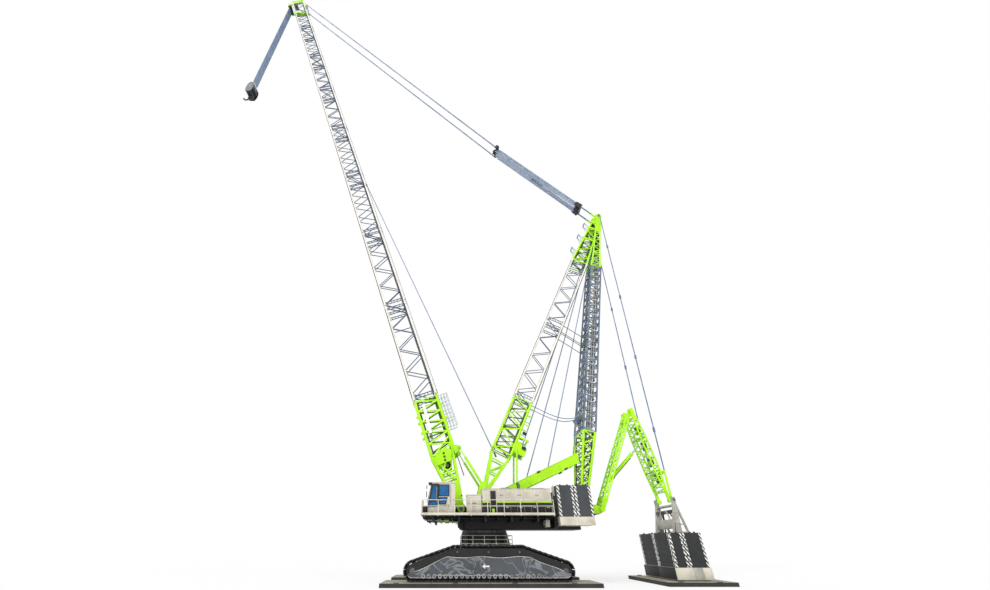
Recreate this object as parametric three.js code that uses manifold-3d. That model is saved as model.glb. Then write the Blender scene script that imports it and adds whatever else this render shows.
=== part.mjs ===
// Crawler crane with a luffing lattice boom, a raked superlift mast, a rear mast and a
// hanging superlift ballast, as a 1:10 scale model.
//
// Millimetres of the model, +Z up. The origin is on the slewing axis at ground level, the
// boom leans towards -X, and the cab is on the -Y side, which is the crane's left.

import * as THREE from "three";
import { mergeVertices } from "three/addons/utils/BufferGeometryUtils.js";
import Module from "manifold-3d";

const wasm = await Module();
wasm.setup();

// ---------------------------------------------------------------- driving dimensions

const GAP = 0.4; // between pieces that rest on each other
const PLAY = 7; // between pieces that move past each other

// ground mats and crawlers
const MAT_TOP = 30;
const MAT_X = [-914, 926];
const MAT_Y = [170, 570];
const BALLAST_MAT_X = [1510, 2100];
const BALLAST_MAT_HALF_WIDTH = 460;
const TRACK_Y = [270, 470];
const TRACK_RAIL = 24; // thickness of the shoes and their chain
const TUMBLER_RADIUS = 80;
const TUMBLER_X = 655;
const TOP_ROLLER_X = 300;
const TOP_ROLLER_RADIUS = 30;
const TRACK_TOP = 300;
const SHOES = 64;

// turntable and superstructure
const RING_TOP = 415;
const FRAME_BOTTOM = 421;
const FRAME_TOP = 528;
const FRAME_HALF_WIDTH = 165;
const FRAME_END = 920;
const DECK_TOP = 534;
const DECK_EDGE = 470;
const DECK_X = [-600, 620];

// boom: foot pin, inclination, length and cross-section
const BOOM_FOOT = [-230, 600];
const BOOM_ANGLE = 70.4;
const BOOM_LENGTH = 11900;
const BOOM_DEPTH = 285;
const BOOM_WIDTH = 300;
const BOOM_BASE_END = 1180;
const BOOM_SPLICE = 6390;
const BOOM_HEAD_START = 11600;

// superlift mast and rear mast, which meet at the mast head pin
const MAST_FOOT = [20, 760];
const MAST_HEAD = [1900, 4530];
const MAST_DEPTH = 230;
const MAST_WIDTH = 240;
const REAR_MAST_FOOT = [990, 600];
const REAR_MAST_DEPTH = 150;
const REAR_MAST_WIDTH = 400;
const REAR_MAST_TOP_WIDTH = 280;
const STRUT_FOOT = [0, 650]; // box beams between the two masts
const STRUT_END = [1270, 1186];

// stays between the boom head and the mast head
const STAY_PIN = [-3985, 11710];
const STAY_BLOCK_PIN = [430, 6190]; // the stays sag here under the floating block
const TACKLE_BLOCK = 380; // from the mast head pin

// superlift ballast and the link that carries it in and out
const LINK_ROOT = [1186, 600];
const LINK_APEX = [1690, 1580];
const HANGER_PIN = [1865, 676];
const LINK_CYLINDER_PIN = [1320, 860];
const LINK_ROD_PIN = [1756, 1240];
const BALLAST_X = [1665, 1960];
const BALLAST_HALF_WIDTH = 335;
const BALLAST_TOP = 393;
const BALLAST_TRAY_TOP = 128;
const BALLAST_CLEARANCE = 7; // under the hanging tray

// ---------------------------------------------------------------- finishes

const finish = (colour, roughness, metalness) =>
  new THREE.MeshStandardMaterial({ color: colour, roughness, metalness });

const GREEN = finish(0xb0f500, 0.4, 0.1);
const CREAM = finish(0xe8e4da, 0.5, 0.1);
const BEIGE = finish(0xc9c4b4, 0.5, 0.1);
const SLATE = finish(0x3c4043, 0.6, 0.2);
const BLACK = finish(0x1b1c1d, 0.6, 0.3);
const MAT_GREY = finish(0x6a675e, 0.8, 0.2);
const COVER_GREY = finish(0x5a6066, 0.7, 0.1);
const STEEL = finish(0x8e9aaa, 0.45, 0.6);

// ---------------------------------------------------------------- solids

/** A closed three.js geometry as a solid that can be joined and cut. */
function solid(geometry) {
  const bare = geometry.index ? geometry.toNonIndexed() : geometry.clone();
  bare.deleteAttribute("normal");
  bare.deleteAttribute("uv");
  const merged = mergeVertices(bare, 1e-3);
  return new wasm.Manifold(new wasm.Mesh({
    numProp: 3,
    vertProperties: new Float32Array(merged.attributes.position.array),
    triVerts: new Uint32Array(merged.index.array),
  }));
}

const joined = (solids) => solids.reduce((whole, piece) => whole.add(piece));

/** The solid as a named mesh. */
function part(name, material, body) {
  const mesh = body.getMesh();
  const geometry = new THREE.BufferGeometry();
  geometry.setAttribute("position", new THREE.BufferAttribute(mesh.vertProperties, 3));
  geometry.setIndex(new THREE.BufferAttribute(mesh.triVerts, 1));
  geometry.computeVertexNormals();
  const result = new THREE.Mesh(geometry, material);
  result.name = name;
  return result;
}

/** A box between two corners. */
function box([x0, x1], [y0, y1], [z0, z1]) {
  const geometry = new THREE.BoxGeometry(x1 - x0, y1 - y0, z1 - z0);
  return solid(geometry.translate((x0 + x1) / 2, (y0 + y1) / 2, (z0 + z1) / 2));
}

const outline = (points) => new THREE.Shape(points.map(([x, y]) => new THREE.Vector2(x, y)));

/** A side outline of [x, z] points, run across from y0 to y1, with optional holes. */
function plate(points, [y0, y1], holes = []) {
  const shape = outline(points);
  shape.holes = holes.map(outline);
  const geometry = new THREE.ExtrudeGeometry(shape, { depth: y1 - y0, bevelEnabled: false });
  return solid(geometry.rotateX(Math.PI / 2).translate(0, y1, 0));
}

/** An upright round bar or drum. */
function drum(radius, [z0, z1], sides) {
  const geometry = new THREE.CylinderGeometry(radius, radius, z1 - z0, sides);
  return solid(geometry.rotateX(Math.PI / 2).translate(0, 0, (z0 + z1) / 2));
}

/** A round bar from one point to another. */
function bar(from, to, radius, sides = 6) {
  const start = new THREE.Vector3(...from);
  const run = new THREE.Vector3(...to).sub(start);
  const geometry = new THREE.CylinderGeometry(radius, radius, run.length(), sides);
  geometry.translate(0, run.length() / 2, 0);
  const up = new THREE.Vector3(0, 1, 0);
  const turn = new THREE.Quaternion().setFromUnitVectors(up, run.clone().normalize());
  return solid(geometry.applyQuaternion(turn).translate(start.x, start.y, start.z));
}

/** A round bar across the machine, at [x, z]. */
const crossBar = ([x, z], [y0, y1], radius, sides = 12) =>
  bar([x, y0, z], [x, y1, z], radius, sides);

/** The same body mirrored to the other side of the machine. */
const otherSide = (body) => body.mirror([0, 1, 0]);

/** One body and its mirror image, as named meshes of the left and the right side. */
const pair = (name, material, leftBody) => [
  part(`left_${name}`, material, leftBody),
  part(`right_${name}`, material, otherSide(leftBody)),
];

/** A group at [x, z] whose own Z axis leans to the given inclination in the side view. */
function leaning([x, z], inclination, ...children) {
  const group = new THREE.Group();
  group.position.set(x, 0, z);
  group.rotation.y = THREE.MathUtils.degToRad(90 - inclination);
  group.add(...children);
  return group;
}

/** Length and inclination of the line from one [x, z] to another. */
function span([x0, z0], [x1, z1]) {
  return {
    length: Math.hypot(x1 - x0, z1 - z0),
    inclination: THREE.MathUtils.radToDeg(Math.atan2(z1 - z0, x1 - x0)),
  };
}

// ---------------------------------------------------------------- lattice panels

/** The points of a triangle, each side moved inwards by its own inset. */
function insetTriangle(points, insets) {
  const turn = Math.sign(THREE.ShapeUtils.area(points));
  const sides = points.map((start, k) => {
    const run = points[(k + 1) % 3].clone().sub(start).normalize();
    const inward = new THREE.Vector2(-run.y, run.x).multiplyScalar(turn);
    return { start: start.clone().addScaledVector(inward, insets[k]), run };
  });
  return sides.map((side, k) => {
    const before = sides[(k + 2) % 3];
    const across = side.start.clone().sub(before.start);
    const along = across.cross(side.run) / before.run.cross(side.run);
    return before.start.clone().addScaledVector(before.run, along);
  });
}

/**
 * One flat side of a lattice: two chords and two end rails with a zigzag of lacing between.
 * The corners are 3D points, low left, low right, high right and high left, as seen from
 * outside, and the panel's thickness goes inwards.
 */
function latticePanel(corners, { chord, lacing, bays }) {
  const [a, b, c, d] = corners.map((corner) => new THREE.Vector3(...corner));
  const low = a.clone().add(b).multiplyScalar(0.5);
  const high = c.clone().add(d).multiplyScalar(0.5);
  const up = high.clone().sub(low);
  const height = up.length();
  up.normalize();
  const right = b.clone().sub(a).normalize();
  const out = right.clone().cross(up);
  const flat = [a, b, c, d].map((p) => {
    const from = p.clone().sub(low);
    return new THREE.Vector2(from.dot(right), from.dot(up));
  });
  const edge = (side, v) => {
    const [start, end] = side ? [flat[1].x, flat[2].x] : [flat[0].x, flat[3].x];
    const u = start + ((end - start) * v) / height;
    return new THREE.Vector2(u + (side ? -chord : chord), v);
  };
  const level = (k) => chord + ((height - 2 * chord) * k) / bays;
  const node = (k) => edge(k % 2, level(k));
  const half = lacing / 2;
  const holes = [insetTriangle([node(0), edge(1, level(0)), node(1)], [0, 0, half])];
  for (let k = 1; k < bays; k += 1) {
    holes.push(insetTriangle([node(k - 1), node(k), node(k + 1)], [half, half, 0]));
  }
  const last = edge((bays + 1) % 2, level(bays));
  holes.push(insetTriangle([node(bays - 1), node(bays), last], [half, 0, 0]));
  const shape = new THREE.Shape(flat);
  shape.holes = holes.map((points) => new THREE.Path(points));
  const geometry = new THREE.ExtrudeGeometry(shape, { depth: chord, bevelEnabled: false });
  geometry.translate(0, 0, -chord);
  const stand = new THREE.Matrix4().makeBasis(right, up, out).setPosition(low);
  return solid(geometry.applyMatrix4(stand));
}

/**
 * A lattice with four laced sides, between a low and a high section. A section is its
 * height z, its front and rear x and its half width. The two panels of the sides lie a
 * little inside the edges of the front and rear ones.
 */
function lattice(low, high, sizes) {
  const corner = ({ x, half, z }, rear, side, inset) =>
    [x[rear] + (rear ? -inset : inset), side * (half - inset), z];
  const panel = (rearA, sideA, rearB, sideB) => {
    const inset = sideA === sideB ? 0.5 : 0;
    return latticePanel([
      corner(low, rearA, sideA, inset), corner(low, rearB, sideB, inset),
      corner(high, rearB, sideB, inset), corner(high, rearA, sideA, inset),
    ], sizes);
  };
  return joined([panel(0, -1, 1, -1), panel(1, -1, 1, 1), panel(1, 1, 0, 1), panel(0, 1, 0, -1)])
    .trimByPlane([0, 0, 1], low.z).trimByPlane([0, 0, -1], -high.z);
}

/** A section across the boom or a mast, centred on its axis. */
const section = (z, depth, width) => ({ z, x: [-depth / 2, depth / 2], half: width / 2 });

// ---------------------------------------------------------------- crawlers

/** The convex path round some circles [x, z, radius], without its last point repeated. */
function pathRound(circles, steps = 24) {
  const points = circles.flatMap(([x, z, radius]) => Array.from({ length: steps }, (_, k) => {
    const angle = (2 * Math.PI * k) / steps;
    return [x + radius * Math.cos(angle), z + radius * Math.sin(angle)];
  }));
  points.sort((p, q) => p[0] - q[0] || p[1] - q[1]);
  const turnsLeft = ([ax, az], [bx, bz], [cx, cz]) =>
    (bx - ax) * (cz - az) - (bz - az) * (cx - ax) > 1e-6;
  const half = (list) => {
    const chain = [];
    for (const point of list) {
      while (chain.length > 1 && !turnsLeft(chain.at(-2), chain.at(-1), point)) chain.pop();
      chain.push(point);
    }
    return chain.slice(0, -1);
  };
  return [...half(points), ...half(points.reverse())];
}

/** The circles that the track runs round, drawn in by an inset. */
function trackCircles(inset) {
  const tumblerZ = MAT_TOP + GAP + TUMBLER_RADIUS;
  const rollerZ = TRACK_TOP - TOP_ROLLER_RADIUS;
  return [-1, 1].flatMap((end) => [
    [end * TUMBLER_X, tumblerZ, TUMBLER_RADIUS - inset],
    [end * TOP_ROLLER_X, rollerZ, TOP_ROLLER_RADIUS - inset],
  ]);
}

/** A closed path with a notch between every two shoes. */
function shoePath(path, shoes, notch, depth) {
  const lengths = path.map(([x, z], k) => {
    const [nextX, nextZ] = path[(k + 1) % path.length];
    return Math.hypot(nextX - x, nextZ - z);
  });
  const pitch = lengths.reduce((sum, length) => sum + length) / shoes;
  const at = (distance, inset) => {
    let left = distance;
    let k = 0;
    while (k < path.length - 1 && left > lengths[k]) {
      left -= lengths[k];
      k += 1;
    }
    const [x, z] = path[k];
    const [nextX, nextZ] = path[(k + 1) % path.length];
    const run = [(nextX - x) / lengths[k], (nextZ - z) / lengths[k]];
    return [x + run[0] * left - run[1] * inset, z + run[1] * left + run[0] * inset];
  };
  return Array.from({ length: shoes }, (_, k) => [
    at(k * pitch, depth), at(k * pitch + notch, 0),
    at((k + 1) * pitch - notch, 0), at((k + 1) * pitch - notch / 2, depth),
  ]).flat();
}

function crawlers() {
  const mat = box(MAT_X, [-MAT_Y[1], -MAT_Y[0]], [0, MAT_TOP]);
  const outer = shoePath(pathRound(trackCircles(0)), SHOES, 3, 5);
  const inner = pathRound(trackCircles(TRACK_RAIL));
  const track = plate(outer, [-TRACK_Y[1], -TRACK_Y[0]], [inner]);
  const frame = plate(pathRound(trackCircles(TRACK_RAIL + 4), 12),
    [-TRACK_Y[1] + 4, -TRACK_Y[0]]);
  const frameHollow = box([-560, 560], [-TRACK_Y[1] + 30, -TRACK_Y[0] + 5], [84, 180]);
  return [
    ...pair("track_mat", MAT_GREY, mat),
    ...pair("track", BLACK, track),
    ...pair("track_frame", COVER_GREY, frame.subtract(frameHollow)),
  ];
}

/** Ballast mat that lies behind the crane, under the hanging ballast. */
const ballastMat = () => part("ballast_mat", MAT_GREY, box(BALLAST_MAT_X,
  [-BALLAST_MAT_HALF_WIDTH, BALLAST_MAT_HALF_WIDTH], [0, MAT_TOP]));

/** Box between the two crawlers, with the pedestal and the fixed half of the slewing ring. */
function carbody() {
  const reach = TRACK_Y[0] - GAP;
  const shell = joined([
    box([-210, 210], [-reach, reach], [105, 296]),
    drum(225, [290, 396], 32),
    drum(212, [390, RING_TOP], 32),
  ]);
  const openBelow = box([-185, 185], [-reach + 25, reach - 25], [100, 270]);
  return part("carbody", BLACK, shell.subtract(openBelow));
}

// ---------------------------------------------------------------- superstructure

function mainFrame() {
  const side = [[-600, FRAME_TOP], [-600, 510], [-225, 486], [-225, FRAME_BOTTOM],
    [FRAME_END, FRAME_BOTTOM], [FRAME_END, FRAME_TOP]];
  const root = FRAME_TOP - 2;
  const boomEar = plate([[-330, root], [-120, root], [-195, 640], [-265, 640]], [62, 98]);
  const mastEar = plate([[-40, root], [120, root], [50, 790], [-5, 790]], [30, 52]);
  const strutSeat = plate([[0, root], [100, root], [100, 643], [0, 601]], [98, 142]);
  const tail = plate([[860, root], [1150, 556], [1206, 584], [1206, 616], [1160, 640],
    [900, 640], [840, root]], [40, 62]);
  const sideways = [boomEar, mastEar, strutSeat, tail].flatMap((ear) => [ear, otherSide(ear)]);
  const mastPin = crossBar(MAST_FOOT, [-58 + GAP, 58 - GAP], 14);
  const rearMastPin = crossBar(REAR_MAST_FOOT, [-101 + GAP, 101 - GAP], 14);
  const hollow = box([-200, 930], [-FRAME_HALF_WIDTH + 20, FRAME_HALF_WIDTH - 20],
    [FRAME_BOTTOM + 20, FRAME_TOP - 20]);
  return part("main_frame", BLACK, joined([
    plate(side, [-FRAME_HALF_WIDTH, FRAME_HALF_WIDTH]).subtract(hollow),
    ...sideways, mastPin, rearMastPin,
  ]));
}

/** Walkway plate on its brackets, along one side of the main frame. */
function decks() {
  const inner = -FRAME_HALF_WIDTH - GAP;
  const ribs = [-500, -260, -20, 220, 460].map((x) =>
    plate([[x, FRAME_TOP - 4], [x, 478], [x + 16, 478], [x + 16, FRAME_TOP - 4]],
      [-DECK_EDGE + 30, inner]));
  const floor = box(DECK_X, [-DECK_EDGE, inner], [DECK_TOP - 12, DECK_TOP]);
  return pair("deck", SLATE, joined([floor, ...ribs]));
}

// Operator's cab: side profile with the raked windscreen, hollow, with window cuts
const CAB_Y = [-405, -245];
const CAB_WALL = 8;
const CAB_FLOOR = 608;
const CAB_ROOF = 798;
const CAB_REAR = -290;
const CAB_NOSE = -550;
const DOORWAY_X = [-440, -345];
const DOORWAY_Z = [616, 784];

function cab() {
  const shell = plate([[CAB_NOSE + 8, DECK_TOP + GAP], [CAB_REAR, DECK_TOP + GAP],
    [CAB_REAR, CAB_ROOF], [CAB_NOSE + 40, CAB_ROOF], [CAB_NOSE, 640]], CAB_Y);
  const inside = [CAB_Y[0] + CAB_WALL, CAB_Y[1] - CAB_WALL];
  const cavity = plate([[CAB_NOSE + 12, CAB_FLOOR], [CAB_REAR - CAB_WALL, CAB_FLOOR],
    [CAB_REAR - CAB_WALL, CAB_ROOF - CAB_WALL], [CAB_NOSE + 47, CAB_ROOF - CAB_WALL],
    [CAB_NOSE + 9, 641]], inside);
  const windscreen = box([CAB_NOSE - 5, CAB_NOSE + 60], [CAB_Y[0] + 16, CAB_Y[1] - 16], [630, 782]);
  const frontSide = plate([[-526, 650], [-456, 650], [-456, 782], [-502, 782]],
    [CAB_Y[0] - 5, CAB_Y[1] + 5]);
  const rearSide = box([-430, -320], [CAB_Y[1] - 20, CAB_Y[1] + 5], [650, 782]);
  const doorway = box(DOORWAY_X, [CAB_Y[0] - 5, CAB_Y[0] + 20], DOORWAY_Z);
  const roofLight = box([-490, -400], [CAB_Y[0] + 30, CAB_Y[1] - 30], [CAB_ROOF - 20, CAB_ROOF + 5]);
  const cuts = joined([cavity, windscreen, frontSide, rearSide, doorway, roofLight]);
  return part("cab", BEIGE, shell.subtract(cuts));
}

/** Door that slides back along the outside of the cab. */
function cabDoor() {
  const face = [CAB_Y[0] - PLAY - 6, CAB_Y[0] - PLAY];
  const panel = box([DOORWAY_X[0] - 6, DOORWAY_X[1] + 6], face, [DOORWAY_Z[0] - 2, DOORWAY_Z[1] + 6]);
  const window = box([DOORWAY_X[0] + 8, DOORWAY_X[1] - 8], [face[0] - 5, face[1] + 5], [690, 776]);
  return part("cab_door", BEIGE, panel.subtract(window));
}

const cabinet = () => part("cabinet", BEIGE,
  box([-180, -45], [-430, -260], [DECK_TOP + GAP, 695]));

/** Engine and pump house: sheet walls and roof over the deck, open below. */
const HOUSE_X = [-35, 610];
const HOUSE_Y = [-430, -229];
const HOUSE_Z = [DECK_TOP + GAP, 746];

function houses() {
  const wall = 8;
  const shell = box(HOUSE_X, HOUSE_Y, HOUSE_Z).subtract(box(
    [HOUSE_X[0] + wall, HOUSE_X[1] - wall], [HOUSE_Y[0] + wall, HOUSE_Y[1] - wall],
    [HOUSE_Z[0] - 5, HOUSE_Z[1] - wall]));
  return pair("machine_house", BEIGE, shell);
}

const engine = () => part("engine", BLACK, box([80, 460], [-405, -245], [DECK_TOP + GAP, 680]));

/** Counterweight slabs in two stacks a side, on a beige tray beside the main frame. */
const SLAB_X = [675, 990];
const SLAB_Y = [-420, -192];
const BODY_TRAY_Z = [450, 517];
const BODY_SLABS_TOP = 780;
const BODY_SLABS = 4;

/** A stack of slabs, with a shallow groove between every two of them. */
function slabStack([x0, x1], y, [z0, z1], slabs) {
  const groove = 3;
  const pitch = (z1 - z0) / slabs;
  const edge = [];
  for (let k = 0; k < slabs; k += 1) {
    const bottom = z0 + k * pitch;
    edge.push([0, bottom], [0, bottom + pitch - groove], [groove, bottom + pitch - groove],
      [groove, bottom + pitch]);
  }
  edge.pop();
  edge[edge.length - 1] = [0, z1];
  edge.splice(-2, 1);
  const points = [...edge.map(([inset, z]) => [x0 + inset, z]),
    ...edge.reverse().map(([inset, z]) => [x1 - inset, z])];
  return plate(points, y);
}

function bodyBallast() {
  const tray = box([SLAB_X[0] - 4, SLAB_X[1]], [SLAB_Y[0], -FRAME_HALF_WIDTH - GAP], BODY_TRAY_Z);
  const stack = slabStack(SLAB_X, SLAB_Y, [BODY_TRAY_Z[1] + GAP, BODY_SLABS_TOP], BODY_SLABS);
  const middle = (SLAB_X[0] + SLAB_X[1]) / 2;
  const split = box([middle - 2, middle + 2], [SLAB_Y[0] - 5, SLAB_Y[0] + 6],
    [BODY_TRAY_Z[1] - 5, BODY_SLABS_TOP + 5]);
  return [
    ...pair("ballast_tray", BEIGE, tray),
    ...pair("body_ballast", SLATE, stack.subtract(split)),
  ];
}

// ---------------------------------------------------------------- boom

// Places on the boom, in its own frame: x towards the rear, z along it from the foot pin
const BASE_FRONT_KINK = 560;
const BASE_REAR_KINK = 720;
const FOOT_PLATE_Y = [105, 132];
const HOIST_SHEAVE = [72.5, BOOM_LENGTH - 72]; // in front of the boom's face, and along it

/** Green base: two foot plates, the widening part with its winch and a laced part. */
function boomBase() {
  const half = BOOM_DEPTH / 2;
  const leg = plate([[-28, -30], [28, -30], [70, 210], [half, BASE_REAR_KINK],
    [half - 24, BASE_REAR_KINK], [52, 250], [-52, 250], [-half + 24, BASE_FRONT_KINK],
    [-half, BASE_FRONT_KINK], [-70, 210]], FOOT_PLATE_Y);
  const sleeve = [-24, 24].map((x) => bar([x, -FOOT_PLATE_Y[1] + 4, 200],
    [x, FOOT_PLATE_Y[1] - 4, 200], 12, 8));
  const upper = lattice(section(BASE_FRONT_KINK - 10, BOOM_DEPTH, BOOM_WIDTH),
    section(BOOM_BASE_END - GAP, BOOM_DEPTH, BOOM_WIDTH), { chord: 24, lacing: 16, bays: 3 });
  const rails = [-1, 1].flatMap((side) => [
    bar([-half + 12, side * 118, BASE_FRONT_KINK - 40], [-half + 12, side * 138, BASE_FRONT_KINK + 10],
      11, 6),
    bar([half - 12, side * 118, BASE_REAR_KINK - 40], [half - 12, side * 138, BASE_REAR_KINK + 10],
      11, 6),
  ]);
  const winch = crossBar([10, 460], [-FOOT_PLATE_Y[0] - 3, FOOT_PLATE_Y[0] + 3], 50, 16);
  const winchSide = box([-112, 110], [FOOT_PLATE_Y[0] + 2, FOOT_PLATE_Y[1] - 2], [430, 490]);
  return part("boom_base", GREEN, joined([leg, otherSide(leg), ...sleeve, upper, ...rails,
    winch, winchSide, otherSide(winchSide)]));
}

function boomLattice(name, from, to, bays) {
  const body = lattice(section(from, BOOM_DEPTH, BOOM_WIDTH),
    section(to - GAP, BOOM_DEPTH, BOOM_WIDTH), { chord: 18, lacing: 9, bays });
  return part(name, CREAM, body);
}

/** Head box with the hoist sheaves at its front and the ears for the stays at its rear. */
function boomHead() {
  const half = BOOM_DEPTH / 2;
  const top = BOOM_LENGTH + 80;
  const frame = lattice(section(BOOM_HEAD_START, BOOM_DEPTH, BOOM_WIDTH),
    section(BOOM_LENGTH - 60, BOOM_DEPTH, BOOM_WIDTH), { chord: 24, lacing: 16, bays: 1 });
  const cheek = plate([[-half, BOOM_LENGTH - 90], [half, BOOM_LENGTH - 90],
    [half + 20, top - 50], [half - 10, top], [-half + 10, top], [-half - 85, top - 100],
    [-half - 95, top - 170], [-half - 60, top - 190]], [100, 124]);
  const ties = [[half - 20, top - 20], [-half + 20, top - 20], [half - 14, BOOM_LENGTH - 66],
    [-half + 14, BOOM_LENGTH - 66]].map((at) => crossBar(at, [-110, 110], 14, 8));
  const sheaves = crossBar([-half - HOIST_SHEAVE[0], HOIST_SHEAVE[1]], [-104, 104], 44, 20);
  const stayEar = plate([[half - 20, 11620], [half + 62, 11700], [half + 62, 11754],
    [half - 20, 11830]], [109, 119]);
  const bridge = box([half - 20, half], [-120, 120], [11640, 11800]);
  return part("boom_head", GREEN, joined([frame, cheek, otherSide(cheek), ...ties, sheaves,
    stayEar, otherSide(stayEar), bridge]));
}

const boom = () => leaning(BOOM_FOOT, 180 - BOOM_ANGLE,
  boomBase(),
  boomLattice("boom_lower", BOOM_BASE_END, BOOM_SPLICE, 11),
  boomLattice("boom_upper", BOOM_SPLICE, BOOM_HEAD_START, 11),
  boomHead());

/** The [x, z] place of a point of the boom's own frame. */
function onBoom([x, z]) {
  const lean = THREE.MathUtils.degToRad(BOOM_ANGLE - 90);
  return [BOOM_FOOT[0] + x * Math.cos(lean) + z * Math.sin(lean),
    BOOM_FOOT[1] - x * Math.sin(lean) + z * Math.cos(lean)];
}

// ---------------------------------------------------------------- hook

const HOOK_PIN = onBoom([-BOOM_DEPTH / 2 - HOIST_SHEAVE[0], HOIST_SHEAVE[1]]);
const HOOK_BLOCK_Z = [7900, 8200];

/** Falls of hoist rope, drawn as four flat bands from the head sheaves to the hook block. */
function hookRopes() {
  const top = HOOK_PIN[1] - 60;
  const falls = [-66, -22, 22, 66].map((y) =>
    box([HOOK_PIN[0] - 5, HOOK_PIN[0] + 5], [y - 7, y + 7], [HOOK_BLOCK_Z[1] + 70, top]));
  const ends = [HOOK_BLOCK_Z[1] + 70, top].map((z) =>
    box([HOOK_PIN[0] - 7, HOOK_PIN[0] + 7], [-73, 73], [z - 6, z + 6]));
  return part("hook_ropes", STEEL, joined([...falls, ...ends]));
}

/** Hook block: sheave case between two cheeks, with a double hook below. */
function hookBlock() {
  const [x] = HOOK_PIN;
  const [low, high] = HOOK_BLOCK_Z;
  const cheekOutline = [[x - 50, low + 20], [x + 50, low + 20], [x + 72, low + 110],
    [x + 72, high - 70], [x + 40, high + 40], [x - 40, high + 40], [x - 72, high - 70],
    [x - 72, low + 110]];
  const body = plate(cheekOutline, [-110, 110]);
  const shank = box([x - 22, x + 22], [-22, 22], [low - 60, low + 30]);
  const hook = [-1, 1].flatMap((side) => [
    bar([x, 0, low - 60], [x + side * 70, 0, low - 110], 20, 8),
    bar([x + side * 70, 0, low - 112], [x + side * 96, 0, low - 50], 15, 8),
  ]);
  return part("hook_block", BLACK, joined([body, shank, ...hook]));
}

// ---------------------------------------------------------------- backstops

const BACKSTOP_PIN = [-10, 810];
const BACKSTOP_EYE = [-246, 1170];
const BACKSTOP_Y = -178;

/** Green posts and their cross beam, which carry the backstops. */
function backstopFrame() {
  const post = plate([[-80, DECK_TOP + GAP], [-30, DECK_TOP + GAP], [-20, 700], [22, 800],
    [22, 835], [-30, 835], [-70, 720]], [-222, -199]);
  const beam = box([-80, -50], [-222, 222], [DECK_TOP + GAP, 566]);
  const spigot = crossBar(BACKSTOP_PIN, [-200, -160], 6, 8);
  return part("backstop_frame", GREEN,
    joined([post, otherSide(post), beam, spigot, otherSide(spigot)]));
}

/** Barrel from the post's pin, hollow, with the rod inside it. */
function backstops() {
  const { length, inclination } = span(BACKSTOP_PIN, BACKSTOP_EYE);
  const barrelEnd = 318;
  const tube = bar([0, BACKSTOP_Y, 22], [0, BACKSTOP_Y, barrelEnd], 13, 12)
    .subtract(bar([0, BACKSTOP_Y, 60], [0, BACKSTOP_Y, barrelEnd + 10], 8.5, 12));
  const eye = joined([-1, 1].map((side) => box([-12, 12],
    [BACKSTOP_Y + side * 9 - 2, BACKSTOP_Y + side * 9 + 2], [10, 40])));
  const barrel = tube.add(eye);
  const rod = bar([0, BACKSTOP_Y, length - 300], [0, BACKSTOP_Y, length - 8], 6, 10)
    .add(bar([0, BACKSTOP_Y - 11, length], [0, BACKSTOP_Y + 11, length], 12, 10));
  return {
    barrels: leaning(BACKSTOP_PIN, inclination, ...pair("backstop_barrel", GREEN, barrel)),
    rods: leaning(BACKSTOP_PIN, inclination, ...pair("backstop_rod", STEEL, rod)),
  };
}

// ---------------------------------------------------------------- masts

/** Superlift mast with its winch, leaning back from the superstructure to the head pin. */
function superliftMast() {
  const { length, inclination } = span(MAST_FOOT, MAST_HEAD);
  const baseEnd = 1060;
  const topStart = 3260;
  const foot = plate([[-26, -14], [26, -14], [MAST_DEPTH / 2, 420], [MAST_DEPTH / 2 - 22, 420],
    [0, 60], [-MAST_DEPTH / 2 + 22, 420], [-MAST_DEPTH / 2, 420]], [58, 80]);
  const spread = [-1, 1].flatMap((side) => [-1, 1].map((end) =>
    bar([end * (MAST_DEPTH / 2 - 11), side * 69, 396], [end * (MAST_DEPTH / 2 - 11), side * 109, 440],
      10, 6)));
  const rear = MAST_DEPTH / 2;
  const winchEar = plate([[rear - 8, 480], [rear + 120, 480], [rear + 120, 560], [rear - 8, 610]],
    [98, 114]);
  const winch = crossBar([rear + 66, 520], [-100, 100], 44, 16);
  const base = joined([foot, otherSide(foot), ...spread, winch, winchEar, otherSide(winchEar),
    lattice(section(430, MAST_DEPTH, MAST_WIDTH), section(baseEnd - GAP, MAST_DEPTH, MAST_WIDTH),
      { chord: 22, lacing: 13, bays: 3 })]);
  const middle = lattice(section(baseEnd, MAST_DEPTH, MAST_WIDTH),
    section(topStart - GAP, MAST_DEPTH, MAST_WIDTH), { chord: 17, lacing: 9, bays: 8 });
  const top = lattice(section(topStart, MAST_DEPTH, MAST_WIDTH),
    section(length - 130, 130, MAST_WIDTH), { chord: 20, lacing: 13, bays: 4 });
  const cheek = plate([[-65, length - 160], [65, length - 160], [45, length + 40], [-45, length + 40]],
    [96, 120]);
  const headPin = crossBar([0, length], [-104, 104], 18, 12);
  return leaning(MAST_FOOT, inclination,
    part("mast_base", GREEN, base),
    part("mast_middle", CREAM, middle),
    part("mast_head", GREEN, joined([top, cheek, otherSide(cheek), headPin])));
}

/** Sloping box beams towards the rear mast, with cross tubes and the mast's two props. */
function backStrut() {
  const { inclination } = span(STRUT_FOOT, STRUT_END);
  const beam = plate([[-44, 0], [-44, 1118], [44, 1075], [44, 30], [10, 0]], [-142, -98]);
  const ties = [140, 700, 1040].map((z) => crossBar([0, z], [-110, 110], 16, 8));
  const prop = bar([-30, -130, 385], [-330, -130, 540], 10, 8);
  return leaning(STRUT_FOOT, inclination,
    part("back_strut", GREEN, joined([beam, otherSide(beam), ...ties, prop, otherSide(prop)])));
}

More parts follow.
